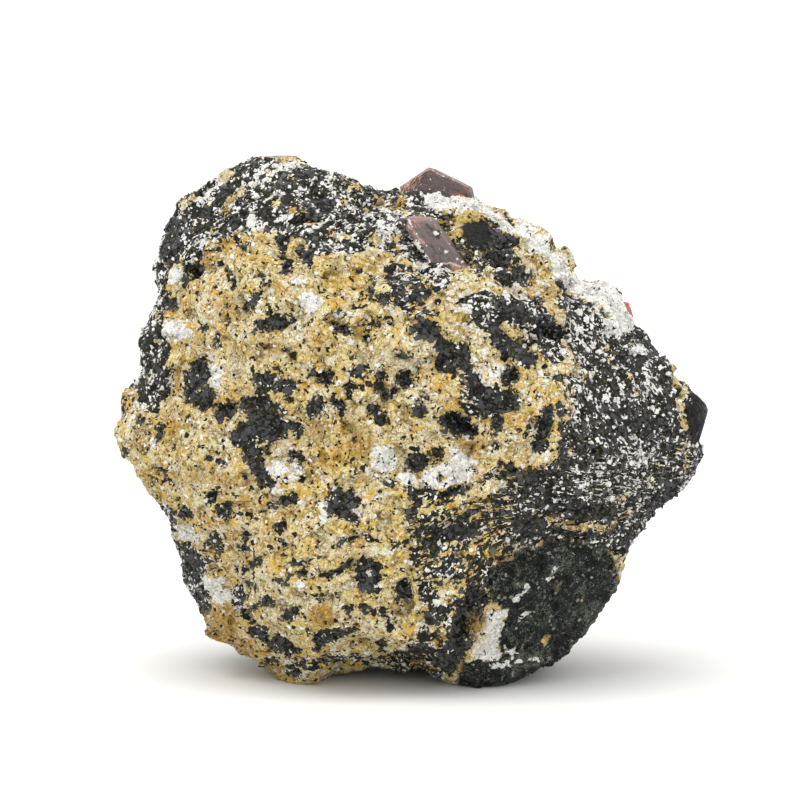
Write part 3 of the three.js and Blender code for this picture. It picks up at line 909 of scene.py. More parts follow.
@dataclass
class Skin:
    """A closed surface as arrays.

    Attributes:
        corners: its points in mm.
        faces: four point numbers a face.
    """

    corners: Array
    faces: Array

    def normals(self) -> Array:
        """The surface's direction at each point.

        Returns:
            One unit vector for each point.
        """
        a, b, c, d = (self.corners[self.faces[:, i]] for i in range(4))
        across = np.cross(c - a, d - b)
        total = np.zeros_like(self.corners)
        for place in range(4):
            np.add.at(total, self.faces[:, place], across)
        return total / np.maximum(np.linalg.norm(total, axis=1, keepdims=True), 1e-12)

    def relaxed(self, rounds: int) -> Array:
        """The points moved to the middle of their neighbours, again and again.

        Args:
            rounds: how many times.

        Returns:
            The moved points.
        """
        ends = np.concatenate([self.faces[:, [i, (i + 1) % 4]] for i in range(4)])
        count = np.bincount(ends[:, 0], minlength=len(self.corners))[:, None]
        moved = self.corners
        for _ in range(rounds):
            total = np.zeros_like(moved)
            for axis in range(3):
                weights = moved[ends[:, 1], axis]
                total[:, axis] = np.bincount(ends[:, 0], weights, len(moved))
            moved = total / np.maximum(count, 1)
        return moved


def remeshed(node: str, square: float) -> Skin:
    """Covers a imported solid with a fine, even mesh.

    Args:
        node: the solid's name.
        square: the size of the mesh's squares, mm.

    Returns:
        The mesh as arrays, in mm.
    """
    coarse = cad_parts[node].data.copy()
    for corner in coarse.vertices:
        corner.co /= MM
    work = bpy.data.objects.new("work", coarse)
    bpy.context.scene.collection.objects.link(work)
    modifier = work.modifiers.new("even", "REMESH")
    modifier.mode = "VOXEL"
    modifier.voxel_size = square
    made = work.evaluated_get(bpy.context.evaluated_depsgraph_get()).to_mesh()
    corners = np.zeros(len(made.vertices) * 3)
    made.vertices.foreach_get("co", corners)
    faces = np.zeros(len(made.polygons) * 4, np.int64)
    made.polygons.foreach_get("vertices", faces)
    bpy.data.objects.remove(work)
    bpy.data.meshes.remove(coarse)
    return Skin(corners.reshape(-1, 3), faces.reshape(-1, 4))


@dataclass
class GneissStone:
    """The matrix: one stone whose break shows its grain.

    Attributes:
        node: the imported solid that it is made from.
        voxel: the size of the mesh's squares, mm.
        lump: how far the coarse unevenness stands out, mm.
        lump_width: its breadth, mm.
        ripple: how far the fine unevenness stands out, mm.
        breakage: how far the broken blocks of the rock stand out, mm.
        block_width: their breadth, mm.
        bend: how far the blocks' edges bend, mm.
        bend_width: breadth of a bend, mm.
        sugar: how far single chips stand out, mm.
        chip_width: breadth of a chip, and of the fine unevenness, mm.
        sunk: how far the mica lies under the feldspar, mm.
        flaking: how far mica layers step, mm.
        layer_step: from one mica layer to the next, mm.
        pit: how far the deep hollows go in, mm.
        block: how far calcite stands out, mm.
        foot: within this height the feet keep their flat, mm.
        minerals: what lies where.
        skin: the finished surface.
        found: the minerals at its points.
    """

    node: str = "matrix"
    voxel: float = 0.45
    lump: float = 0.4
    lump_width: float = 4.6
    ripple: float = 0.1
    breakage: float = 0.7
    block_width: float = 3.0
    bend: float = 0.5
    bend_width: float = 1.6
    sugar: float = 0.2
    chip_width: float = 1.2
    sunk: float = 0.32
    flaking: float = 0.26
    layer_step: float = 1.15
    pit: float = 1.5
    block: float = 0.1
    foot: float = 0.6
    minerals: MineralMap = field(default_factory=MineralMap)
    skin: Skin | None = None
    found: dict[Fields, Array] = field(default_factory=dict)

    def relief(self, points: Array, found: dict[Fields, Array]) -> Array:
        """How far the broken surface stands out at each point.

        Args:
            points: places in mm.
            found: the minerals there.

        Returns:
            One height in mm for each point.
        """
        mica = smoothstep(-0.2, 0.2, found[Fields.BIOTITE])
        pale = smoothstep(-0.2, 0.2, found[Fields.CALCITE])
        speckled = smoothstep(0.2, 0.55, found[Fields.DARK])
        slip = found[Fields.SLIP]
        coarse = StoneNoise(21).layered(points / self.lump_width, 2) * self.lump
        bends = [StoneNoise(41 + axis).smooth(points / self.bend_width) for axis in range(3)]
        bent = points + self.bend * np.stack(bends, 1)
        breaks, found[Fields.BLOCK] = StoneNoise(26).broken(bent / self.block_width)
        chips, _ = StoneNoise(27).broken(bent / self.chip_width)
        fine = StoneNoise(22).layered(points / self.chip_width, 2) * self.ripple
        layer = found[Fields.LAYER] / self.layer_step
        flakes = (np.abs(layer - np.round(layer)) * 2 - 0.5) * self.flaking
        height = coarse + self.breakage * breaks * (1 - 0.45 * speckled) + fine
        height += self.sugar * chips * (1 - 0.6 * mica)
        height += flakes * np.maximum(mica, speckled) - mica * (1 - speckled) * self.sunk + pale * self.block
        # The slip face is smoother, with chips of its own, and the mica books are nearly flat.
        height = height * (1 - 0.45 * slip) * (1 - 0.85 * found[Fields.BOOK]) + 0.14 * chips * slip
        return height - self.pit * found[Fields.PIT]

    def build(self) -> bpy.types.Object:
        """Makes the stone's mesh with its mineral fields.

        Returns:
            The stone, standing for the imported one.
        """
        skin = remeshed(self.node, self.voxel)
        normals = skin.normals()
        found = self.minerals.fields(skin.corners, normals)
        standing = smoothstep(0.0, self.foot, skin.corners[:, 2])
        height = self.relief(skin.corners, found) * standing
        skin.corners = skin.corners + normals * height[:, None]
        # A hollow lies under the level of its surroundings.
        hollow = np.sum((skin.relaxed(10) - skin.corners) * skin.normals(), axis=1)
        found[Fields.HOLLOW] = smoothstep(0.08, 0.5, hollow)
        self.found = found
        self.skin = skin
        stone = write_mesh("gneiss_stone", skin.corners, skin.faces, smooth=False)
        for name, values in found.items():
            write_field(stone, name, values)
        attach(stone, BODY)
        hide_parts(self.node)
        return stone


# ---- Loose grains ----


class GrainFields(Enum):
    """What a loose grain's mesh tells its finish, as shares."""

    TONE = "tone"
    RUST = "rust"


class Mineral(Enum):
    """What a loose grain is of."""

    FELDSPAR = "feldspar_chips"
    MICA = "mica_flakes"
    CALCITE = "pale_grains"


@dataclass
class Crust:
    """Grains of one mineral that stand out of the broken surface, half sunk in it.

    Attributes:
        mineral: what they are of.
        count: how many are made.
        small: the least breadth, mm.
        large: the greatest, mm.
        flat: thickness as a share of the breadth.
        lean: how far a grain's flat side may lean from the surface: 0 lies on it, 1 is any way.
        sunk: how deep the middle lies, as a share of the thickness.
        show_share: how many times denser they are on the show side.
        skew: how far a grain's corners stray, as a share of its size.
        bare_foot: no grains lie under this height, mm, where the stone stands.
        seed: sets the grains' places and shapes.
    """

    mineral: Mineral
    count: int
    small: float
    large: float
    flat: float
    lean: float
    sunk: float
    show_share: float = 2.2
    skew: float = 0.17
    bare_foot: float = 1.0
    seed: int = 5

    def wanted(self, found: dict[Fields, Array]) -> Array:
        """How thickly the grains lie at each point of the stone.

        Args:
            found: the minerals there.

        Returns:
            One share from 0 to 1 for each point.
        """
        dark = smoothstep(0.0, 0.3, found[Fields.BIOTITE])
        speckled = smoothstep(0.1, 0.3, found[Fields.DARK]) * (1 - dark)
        pale = smoothstep(0.0, 0.3, found[Fields.CALCITE])
        bare = (1 - found[Fields.SLIP]) * (1 - found[Fields.BOOK])
        match self.mineral:
            case Mineral.MICA:
                return np.maximum(dark, 0.4 * speckled * found[Fields.DARK]) * (1 - pale) * bare
            case Mineral.CALCITE:
                white = (1 - pale) * (1 - dark) * (1 - 0.85 * speckled) * found[Fields.WHITE]
                return (0.7 * pale + white) * bare
            case Mineral.FELDSPAR:
                return (1 - pale) * (1 - dark) * (1 - speckled) * (1 - found[Fields.WHITE]) * bare

    def build(self, stone: GneissStone) -> bpy.types.Object:
        """Strews the grains on the stone.

        Args:
            stone: the stone, already built.

        Returns:
            The grains, joined in one mesh.
        """
        rng = np.random.default_rng(self.seed)
        corners, faces = stone.skin.corners, stone.skin.faces
        normals = stone.skin.normals()
        quads = corners[faces]
        area = np.linalg.norm(np.cross(quads[:, 2] - quads[:, 0], quads[:, 3] - quads[:, 1]), axis=1)
        shown = 1 + (self.show_share - 1) * smoothstep(0.1, -0.35, normals[faces[:, 0], 1])
        weight = area * shown * self.wanted(stone.found)[faces[:, 0]]
        weight *= quads.mean(1)[:, 2] > self.bare_foot
        # Each grain gets a face, and a place on it.
        picked = rng.choice(len(faces), self.count, p=weight / weight.sum())
        share = rng.random((self.count, 2, 1))
        quad = quads[picked]
        top = quad[:, 0] + (quad[:, 1] - quad[:, 0]) * share[:, 0]
        low = quad[:, 3] + (quad[:, 2] - quad[:, 3]) * share[:, 0]
        place = top + (low - top) * share[:, 1]
        # Its thickness leans away from the surface's direction, and its sides are turned at random.
        out = normals[faces[picked, 0]] * (1 - self.lean) + rng.normal(0, 0.6, (self.count, 3)) * self.lean
        out /= np.linalg.norm(out, axis=1, keepdims=True)
        side = np.cross(out, rng.normal(size=(self.count, 3)))
        side /= np.linalg.norm(side, axis=1, keepdims=True)
        other = np.cross(out, side)
        size = self.small + (self.large - self.small) * rng.random((self.count, 1)) ** 2
        length = size * (0.7 + 0.6 * rng.random((self.count, 1)))
        thick = size * self.flat * (0.7 + 0.6 * rng.random((self.count, 1)))
        # It is a block with strayed corners, sunk by a share of its thickness.
        box = np.array([(x, y, z) for z in (-1, 1) for y in (-1, 1) for x in (-1, 1)]) / 2
        box = box[None] + rng.uniform(-self.skew, self.skew, (self.count, 8, 3))
        made = place[:, None] - (normals[faces[picked, 0]] * thick * self.sunk)[:, None]
        for axis, reach, column in ((side, length, 0), (other, size, 1), (out, thick, 2)):
            made = made + box[:, :, column, None] * (axis * reach)[:, None]
        ring = np.array([(0, 2, 3, 1), (4, 5, 7, 6), (0, 1, 5, 4), (2, 6, 7, 3), (0, 4, 6, 2), (1, 3, 7, 5)])
        cells = (ring[None] + np.arange(self.count)[:, None, None] * 8).reshape(-1, 4)
        piece = write_mesh(self.mineral.value, made.reshape(-1, 3), cells, smooth=False)
        # One tone and one share of rust for all of a grain.
        rust = stone.found[Fields.RUST][faces[picked, 0]]
        for name, values in ((GrainFields.TONE, rng.random(self.count)), (GrainFields.RUST, rust)):
            write_field(piece, name, np.repeat(values, 8))
        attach(piece, BODY)
        return piece


# ---- Finishes ----


@dataclass(frozen=True)
class GneissFinish:
    """Broken biotite gneiss: sugary, iron-stained feldspar with matt black mica and white calcite.

    Feldspar gives the eye a warm, slightly waxy mosaic with stained joints, painted shade between its grains
    and painted glints on its cleavages; unweathered mica is black, with olive where it weathers and a
    painted grey sheen where a cleavage lies flat; calcite is the brightest thing on the stone, with painted
    grey shade.
    The colours are the minerals' own, darker than they look in full light, and hollows get painted shade.

    Attributes:
        grain: breadth of a feldspar lump, mm.
        fine: breadth of the smallest grains, mm; the real ones are as fine as 0.2.
        flake: length of a mica flake in the mixed rock, mm.
        lobe: breadth of the rounded grains: mica flakes in the feldspar, light grains in the mica, mm.
        cream: clean feldspar.
        straw: commonest feldspar.
        gold: stained feldspar.
        ochre: deep stain in the joints, which also stands for painted shade there.
        olive: painted shade on feldspar between the grains and in the hollows.
        glint_white: painted glints where a new cleavage of feldspar catches the light.
        mica: mica seen on edge.
        stringer_and_sheen: painted sheen of mica seen on its cleavage, and the colour of calcite's dark
            stringers.
        moss: weathered mica.
        soot: the darkest mica, and the painted shade of deep hollows.
        white: clean calcite and quartz.
        chalk: shaded calcite.
        orange: rust.
        umber: the darkest rust.
        bottle: the slip face's chlorite.
        sage: its paler smears.
    """

    grain: float = 1.4
    fine: float = 0.34
    flake: float = 0.8
    lobe: float = 1.05
    cream: str = "#e5dcb8"
    straw: str = "#d6c070"
    gold: str = "#d8ac48"
    ochre: str = "#775312"
    olive: str = "#665722"
    glint_white: str = "#f6f0da"
    mica: str = "#181812"
    stringer_and_sheen: str = "#3f3f35"
    moss: str = "#6a6849"
    soot: str = "#050504"
    white: str = "#f6f4ee"
    chalk: str = "#a5a296"
    orange: str = "#b8892c"
    umber: str = "#604413"
    bottle: str = "#272c29"
    sage: str = "#6f7768"

    def build(self) -> bpy.types.Material:
        """Makes the material.

        Returns:
            The material, which reads the stone's mineral fields.
        """
        material, add, mm, found = new_material("biotite_gneiss", Fields)
        grit = self.patterns(add, mm, found)
        dark = self.dark_share(add, found, grit)
        white = self.white_rock(add, grit)
        tan = self.feldspar(add, found, grit)
        black = self.black_rock(add, found, grit, white)
        pick = weighted(add, -0.8, (grit["belt"], 2.0), (grit["grain_2"], 0.6))
        light = add(MIX, add(LESS_THAN, pick, found[Fields.WHITE]), tan, white)
        rock = add(MIX, dark, light, black)
        # Calcite patches lie over both, with clumps of black specks of their own.
        pale = add(RANGE, add(MULTIPLY_ADD, grit["edge"], 0.6, found[Fields.CALCITE]), -0.05, 0.06)
        clean = add(LESS_THAN, grit["fine_3"], add(RANGE, grit["ragged"], 0.5, 0.66, 1.0, 0.7))
        stain = add(MULTIPLY, found[Fields.RUST], add(RANGE, grit["ragged"], 0.4, 0.62, 0.0, 0.75))
        calcite = add(MIX, clean, self.mica, add(TINT, stain, white, self.gold))
        rock = add(MIX, pale, rock, calcite)
        # Hollows get painted shade and dust, least in the calcite, and the deep ones are painted near black
        # as if no light reached them.
        hollow = add(MULTIPLY, found[Fields.HOLLOW], add(MULTIPLY_ADD, pale, -0.35, 0.55))
        rock = add(TINT, hollow, rock, self.olive)
        rock = add(MIX, add(MULTIPLY, found[Fields.PIT], 0.8), rock, self.soot)
        rough = add(RANGE, grit["fine_2"], 0.0, 1.0, 0.4, 0.8)
        # Its sugary break shades most of its own gloss.
        add(SURFACE, add(PRINCIPLED, rock, rough, self.bump(add, grit), 1.54, 0.22))
        return material

    def patterns(self, add: partial, mm: bpy.types.Node, found: dict) -> dict:
        """Makes the patterns that the minerals share.

        Args:
            add: adds a node to the material.
            mm: the node that gives places in mm.
            found: the stone's mineral fields.

        Returns:
            A socket or node for each pattern's name; those of cells end in the number of the draw.
        """
        grit = {}
        # Name, scale per mm, detail, roughness, distortion.
        for name, *values in (
            ("cloud", 0.26, 4.0, 0.6, 0.5),
            ("stain", 0.34, 5.0, 0.64, 0.9),
            ("ragged", 1.0, 3.0, 0.55, 0.0),
            ("fibre", 2.4, 4.0, 0.68, 0.3),
            ("hair", 6.0, 3.0, 0.65, 0.0),
            ("seam", 0.75, 5.0, 0.6, 0.5),
            ("soft", 0.9, 1.0, 0.4, 0.0),
        ):
            grit[name] = add(NOISE, mm, *values)
        # Grain edges wander by a third of a grain, a flake's by less and more smoothly.
        for name, source, reach in (("warped", "ragged", 0.8), ("bent", "soft", 0.9)):
            drift = add(VECTOR_SUBTRACT, grit[source].outputs["Color"], (0.5, 0.5, 0.5))
            grit[name] = add(VECTOR_ADD, mm, add(SCALE, drift, reach))
        cells = {
            "grain": add(CELLS, grit["warped"], 1 / self.grain),
            "fine": add(CELLS, grit["warped"], 1 / self.fine),
            "lobe": add(CELLS, grit["bent"], 1 / self.lobe),
        }
        # The mixed rock's grains are three times as long along its layers as across them.
        across = add(MULTIPLY, found[Fields.LAYER], 2.8)
        cells["flake"] = add(LAYERED_CELLS, across, grit["warped"], 1 / self.flake)
        for name, node in cells.items():
            grit[name] = node.outputs["Distance"]
            draws = add(SPLIT, node.outputs["Color"])
            for draw in range(3):
                grit[f"{name}_{draw + 1}"] = draws.outputs[draw]
        # Clumps and belts of the mixed rock run along its layers too.
        belts = add(LAYERED_NOISE, add(MULTIPLY, found[Fields.LAYER], 2.6), mm, 0.42, 3.0, 0.6)
        belts = add(SPLIT, belts.outputs["Color"])
        grit["clump"], grit["belt"] = belts.outputs[0], belts.outputs[1]
        grit["joint"] = add(JOINTS, grit["warped"], 1 / self.grain)
        # How far a patch's edge strays, in mm: rounded by flakes, then made uneven.
        edge = weighted(add, 0.25, (grit["lobe"], -0.6), (grit["ragged"], 1.5))
        edge = weighted(add, edge, (grit["lobe_1"], 0.55), (grit["fine_1"], 0.35))
        grit["edge"] = add(SUBTRACT, edge, 1.2)
        return grit

    def dark_share(self, add: partial, found: dict, grit: dict) -> bpy.types.Node:
        """Works out where dark minerals show.

        Args:
            add: adds a node to the material.
            found: the stone's mineral fields.
            grit: the shared patterns.

        Returns:
            The node that gives 1 on mica and 0 on light minerals.
        """
        mica = add(RANGE, add(ADD, found[Fields.BIOTITE], grit["edge"]), -0.02, 0.03)
        # In the mixed rock, light grains of two sizes lie in the black, in clumps.
        light = add(MULTIPLY_ADD, grit["clump"], 6.5, add(SUBTRACT, -2.25, found[Fields.DARK]))
        large = add(LESS_THAN, grit["lobe_3"], add(MULTIPLY, light, 0.8))
        oval = add(LESS_THAN, grit["lobe"], add(RANGE, grit["lobe_2"], 0.0, 1.0, 0.4, 0.8))
        small = add(LESS_THAN, grit["flake_2"], add(MULTIPLY, light, 0.34))
        light = add(MAXIMUM, add(MULTIPLY, large, oval), small)
        in_mix = add(GREATER_THAN, add(MULTIPLY_ADD, grit["grain_3"], 0.1, found[Fields.DARK]), 0.22)
        # Single rounded flakes in the feldspar.
        spot = add(LESS_THAN, grit["lobe"], add(RANGE, grit["lobe_2"], 0.0, 1.0, 0.16, 0.42))
        rare = add(GREATER_THAN, grit["lobe_1"], add(RANGE, grit["cloud"], 0.35, 0.65, 0.9, 0.55))
        tiny = add(GREATER_THAN, grit["fine_2"], add(RANGE, grit["ragged"], 0.4, 0.62, 0.99, 0.88))
        dark = grit["plate"] = add(MAXIMUM, mica, add(MULTIPLY, spot, rare))
        for more in (add(SUBTRACT, in_mix, light), tiny, found[Fields.BOOK], found[Fields.SLIP]):
            dark = add(MAXIMUM, dark, more)
        return dark

    def feldspar(self, add: partial, found: dict, grit: dict) -> bpy.types.Node:
        """Colours the feldspar: clouds of stain, then grain by grain, then its joints.

        Args:
            add: adds a node to the material.
            found: the stone's mineral fields.
            grit: the shared patterns.

        Returns:
            The node that gives the colour.
        """
        cloud = weighted(add, grit["cloud"], (found[Fields.BLOCK], 0.2), (grit["grain_3"], 0.25))
        body = add(MIX, add(RANGE, cloud, 0.6, 0.82), self.cream, self.straw)
        stain = weighted(add, grit["stain"], (grit["grain_2"], 0.16), (grit["fibre"], 0.2))
        # Painted glints where a cleavage catches the light: this pattern, and the lightest of the smallest
        # grains below.
        cleavage_glint = add(MULTIPLY, grit["grain_3"], grit["hair"])
        # A few of the smallest grains get painted shade, as if turned from the light.
        dull = add(RANGE, grit["fine_1"], 0.14, 0.16, 0.65, 0.0)
        # Painted shade between the smallest grains.
        shade = add(RANGE, add(MULTIPLY_ADD, grit["hair"], 0.55, grit["fibre"]), 0.63, 0.72, 0.85, 0.0)
        # Stain gathers in the joints and along a few seams; the joint lines are also painted shade between
        # the grains.
        joint = add(RANGE, grit["joint"], 0.02, 0.1, 0.75, 0.0)
        joint = add(MULTIPLY, joint, add(RANGE, grit["ragged"], 0.42, 0.55))
        seam = add(RANGE, add(ABSOLUTE, add(SUBTRACT, grit["seam"], 0.5)), 0.004, 0.02, 0.8, 0.0)
        rust = add(MULTIPLY, found[Fields.RUST], add(RANGE, grit["fibre"], 0.35, 0.6))
        rusty = add(MIX, add(RANGE, grit["hair"], 0.46, 0.62), self.orange, self.umber)
        return covered(
            add,
            body,
            (add(RANGE, stain, 0.67, 0.8, 0.0, 0.9), self.gold),
            (add(RANGE, cleavage_glint, 0.42, 0.5, 0.0, 0.8), self.glint_white),
            (add(RANGE, grit["fine_1"], 0.8, 0.82, 0.0, 0.45), self.glint_white),
            (add(MULTIPLY, dull, add(RANGE, grit["ragged"], 0.45, 0.6)), self.olive),
            (add(MULTIPLY, shade, add(RANGE, grit["stain"], 0.42, 0.6, 1.0, 0.35)), self.olive),
            (add(MAXIMUM, joint, seam), self.ochre),
            (rust, rusty),
        )

    def white_rock(self, add: partial, grit: dict) -> bpy.types.Node:
        """Colours calcite and quartz, grain by grain.

        Args:
            add: adds a node to the material.
            grit: the shared patterns.

        Returns:
            The node that gives the colour.
        """
        # Where this pattern is low, the calcite gets painted grey shade.
        clean = weighted(add, grit["fibre"], (grit["fine_2"], 0.35), (grit["hair"], 0.6))
        body = add(MIX, add(RANGE, clean, 0.68, 0.95), self.chalk, self.white)
        # Fine dark stringers between the cleavages.
        string = add(RANGE, add(ABSOLUTE, add(SUBTRACT, grit["fibre"], 0.5)), 0.004, 0.02, 0.7, 0.0)
        return add(MIX, add(MULTIPLY, string, add(RANGE, grit["soft"], 0.45, 0.6)), body, self.stringer_and_sheen)

    def black_rock(self, add: partial, found: dict, grit: dict, white: bpy.types.Node) -> bpy.types.Node:
        """Colours the mica, its books and the slip face.

        Args:
            add: adds a node to the material.
            found: the stone's mineral fields.
            grit: the shared patterns.
            white: the colour of the flecks in it.

        Returns:
            The node that gives the colour.
        """
        # Each flake gets its own painted sheen, as if it caught the light by itself, and white flecks lie
        # inside the dark patches.
        body = add(MIX, add(MULTIPLY, grit["flake_3"], grit["fine_1"]), self.soot, self.stringer_and_sheen)
        moss = add(RANGE, grit["cloud"], 0.4, 0.62, 0.15, 0.9)
        moss = add(MULTIPLY, add(RANGE, grit["fibre"], 0.5, 0.66), moss)
        fleck = add(GREATER_THAN, grit["fine_3"], add(RANGE, grit["ragged"], 0.45, 0.65, 0.995, 0.87))
        book = add(MIX, add(RANGE, grit["hair"], 0.45, 0.68), self.soot, self.mica)
        body = covered(
            add,
            body,
            (add(RANGE, grit["hair"], 0.42, 0.58), self.mica),
            (moss, self.moss),
            (fleck, white),
            (found[Fields.BOOK], book),
        )
        # The slip face: crushed chlorite, black-green, with sage smears and bright pinpricks.
        crushed = add(RANGE, grit["seam"], 0.42, 0.56, 0.1, 0.9)
        crushed = add(MULTIPLY, add(RANGE, grit["hair"], 0.38, 0.62), crushed)
        slip = add(MIX, crushed, self.soot, self.bottle)
        smear = weighted(add, grit["stain"], (grit["fine_1"], 0.2), (grit["hair"], 1.2))
        smear = add(RANGE, smear, 1.24, 1.44, 0.0, 0.8)
        pin = add(GREATER_THAN, grit["fine_2"], add(RANGE, grit["ragged"], 0.4, 0.62, 0.99, 0.9))
        pin = add(MULTIPLY, pin, grit["grain_3"])
        slip = covered(add, slip, (smear, self.sage), (pin, self.chalk))
        return add(MIX, found[Fields.SLIP], body, slip)

    def bump(self, add: partial, grit: dict) -> bpy.types.Node:
        """Makes the relief that is too fine for the mesh.

        Args:
            add: adds a node to the material.
            grit: the shared patterns, with the mica plates among them.

        Returns:
            The bump node.
        """
        height = add(MULTIPLY, grit["fine_1"], 0.4)
        height = weighted(add, height, (grit["grain"], -0.7), (grit["fine"], -0.4))
        height = weighted(add, height, (grit["hair"], 0.9), (grit["plate"], -0.35))
        return add(BUMP, height, 0.3 * MM, 1.0)


@dataclass(frozen=True)
class GrainFinish:
    """Loose grains of one mineral, each with its own tone.

    Attributes:
        name: the material's name.
        low: the darkest grains.
        middle: the commonest.
        high: the lightest.
        stain: rust on them.
        smooth: roughness of the freshest cleavage.
        rough: roughness of the dullest.
        ior: how strongly light bends in the mineral.
        cloudy: how far the grains follow the cloudy stain of the stone under them.
    """

    name: str
    low: str
    middle: str
    high: str
    stain: str = "#b08a33"
    smooth: float = 0.35
    rough: float = 0.75
    ior: float = 1.54
    cloudy: float = 0.0

    def build(self) -> bpy.types.Material:
        """Makes the material.

        Returns:
            The material, which reads each grain's tone and rust.
        """
        material, add, mm, found = new_material(self.name, GrainFields)
        tone = found[GrainFields.TONE]
        hair = add(NOISE, mm, 4.0, 3.0, 0.65)
        cloud = add(NOISE, mm, 0.34, 5.0, 0.64, 0.9)
        shade = weighted(add, tone, (hair, 1.2), (add(SUBTRACT, 0.5, cloud), self.cloudy))
        ramp = add(RAMP, add(RANGE, shade, 0.3, 1.9))
        ramp.color_ramp.elements[0].color = linear(self.low)
        ramp.color_ramp.elements[1].color = linear(self.high)
        ramp.color_ramp.elements.new(0.45).color = linear(self.middle)
        body = add(MIX, add(MULTIPLY, found[GrainFields.RUST], hair), ramp, self.stain)
        gloss = add(RANGE, tone, 0.0, 1.0, self.smooth, self.rough)
        add(SURFACE, add(PRINCIPLED, body, gloss, add(BUMP, hair, 0.08 * MM, 0.6), self.ior))
        return material


class CrystalFields(Enum):
    """What a zircon's mesh tells its finish, as shares."""

    WARMTH = "warmth"
    LIT = "lit"
    PALE = "pale"
    SHADED = "shaded"
    TIP = "tip"
    COVER = "cover"


@dataclass(frozen=True)
class ZirconFinish:
    """Grown zircon: dull grey-mauve to red-brown, with a greasy gloss that etching has dulled.

    Attributes:
        name: the material's name.
        axis: the crystal's long axis, which its growth lines follow.
        striae: the direction of the growth steps on the warm faces.
        face: the commonest face colour.
        warm: painted glow where light comes back out of the crystal.
        tip: painted glow of its thin ends, where the most light comes through.
        lit: painted highlight on its edges and freshest breaks.
        deep: cracks and shaded zones.
        white: calcite left on the faces, and painted highlight along the brightest edges.
        black: mica left on them.
    """

    name: str
    axis: tuple[float, float, float]
    striae: tuple[float, float, float] = (0.84, 0.0, 0.54)
    face: str = "#3d3332"
    warm: str = "#714a42"
    tip: str = "#96503e"
    lit: str = "#d0a195"
    deep: str = "#241615"
    white: str = "#d9d4cb"
    black: str = "#141411"

    def build(self) -> bpy.types.Material:
        """Makes the material.

        Returns:
            The material, which reads the crystal's fields.
        """
        material, add, mm, found = new_material(self.name, CrystalFields)
        # Growth lines: patterns drawn out along the axis, and up the slope of the warm faces.
        drawn = {}
        for line, share in ((self.axis, 0.8), (self.striae, 0.92)):
            along = add(MULTIPLY, add(DOT_PRODUCT, mm, line), share)
            drawn[line] = add(VECTOR_SUBTRACT, mm, add(SCALE, line, along))
        cloud = add(NOISE, mm, 0.8, 5.0, 0.62)
        fibre = add(NOISE, drawn[self.axis], 2.6, 4.0, 0.66)
        stripe = add(NOISE, drawn[self.striae], 4.4, 2.0, 0.6)
        grit = add(NOISE, mm, 5.0, 3.0, 0.7)
        # The warm colour is painted glow on the warm faces, spread unevenly by clouds and fibres.
        share = add(ADD, weighted(add, -0.65, (cloud, 1.6), (fibre, 0.8)), -0.4)
        share = add(ADD, share, found[CrystalFields.WARMTH], use_clamp=True)
        shaded = add(RANGE, add(MULTIPLY_ADD, grit, 0.5, fibre), 0.76, 0.9, 0.0, 0.75)
        # Stripes of painted highlight and painted shade follow the growth steps on the warm faces.
        light, dark = (
            add(MULTIPLY, add(RANGE, stripe, low, high), found[CrystalFields.WARMTH])
            for low, high in ((0.54, 0.6), (0.49, 0.42))
        )
        # Painted highlight on the edges, broken up.
        edge = add(MULTIPLY, found[CrystalFields.LIT], add(RANGE, grit, 0.35, 0.6))
        glow = add(MULTIPLY, add(RANGE, fibre, 0.35, 0.6, 0.5, 1.0), found[CrystalFields.TIP])
        # Dust, and grains of the stone that still hold to the crystal.
        dust = add(CELLS, mm, 1.7)
        draws = add(SPLIT, dust.outputs["Color"])
        near = add(LESS_THAN, dust, add(RANGE, draws.outputs[1], 0.0, 1.0, 0.1, 0.24))
        cells = add(SPLIT, add(CELLS, mm, 3.0).outputs["Color"])
        # Painted shade, painted highlights on stripes, specks and edges, and painted glow at the tips lie
        # over the face colour.
        body = covered(
            add,
            add(MIX, share, self.face, self.warm),
            (add(MAXIMUM, shaded, found[CrystalFields.SHADED]), self.deep),
            (light, self.lit),
            (dark, self.deep),
            (add(MAXIMUM, add(RANGE, grit, 0.6, 0.7, 0.0, 0.35), edge), self.lit),
            (glow, self.tip),
            (add(MULTIPLY, near, add(GREATER_THAN, draws, 0.72)), self.white),
            (found[CrystalFields.COVER], add(MIX, add(LESS_THAN, cells, 0.5), self.black, self.white)),
            (found[CrystalFields.PALE], self.white),
        )
        bump = add(BUMP, add(MULTIPLY_ADD, grit, 0.6, fibre), 0.16 * MM, 0.8)
        add(SURFACE, add(PRINCIPLED, body, add(RANGE, grit, 0.0, 1.0, 0.24, 0.5), bump, 1.93, 0.3))
        return material


@dataclass(frozen=True)
class PaperFinish:
    """Matt white paper, painted a shade greyer round where the stone stands: a painted shadow that also lets
    its real shadow show.

    Attributes:
        near: its colour round the stone, the painted shadow.
        far: its colour away from it.
        start: mm from the middle where the one begins to pass into the other.
        end: mm from the middle where only the far colour is left.
    """

    near: str = "#ececea"
    far: str = "#fdfdfd"
    start: float = 60.0
    end: float = 240.0

    def build(self) -> bpy.types.Material:
        """Makes the material.

        Returns:
            The material.
        """
        material, add, mm, _ = new_material("matt_paper")
        away = add(LENGTH, mm)
        away = add(RANGE, away, self.start, self.end, interpolation_type="SMOOTHSTEP")
        # The paper's grey round the stone is painted shadow.
        sheet = add(MIX, away, self.near, self.far)
        add(SURFACE, add(PRINCIPLED, sheet, 0.9))
        return material


# ---- The crystals ----


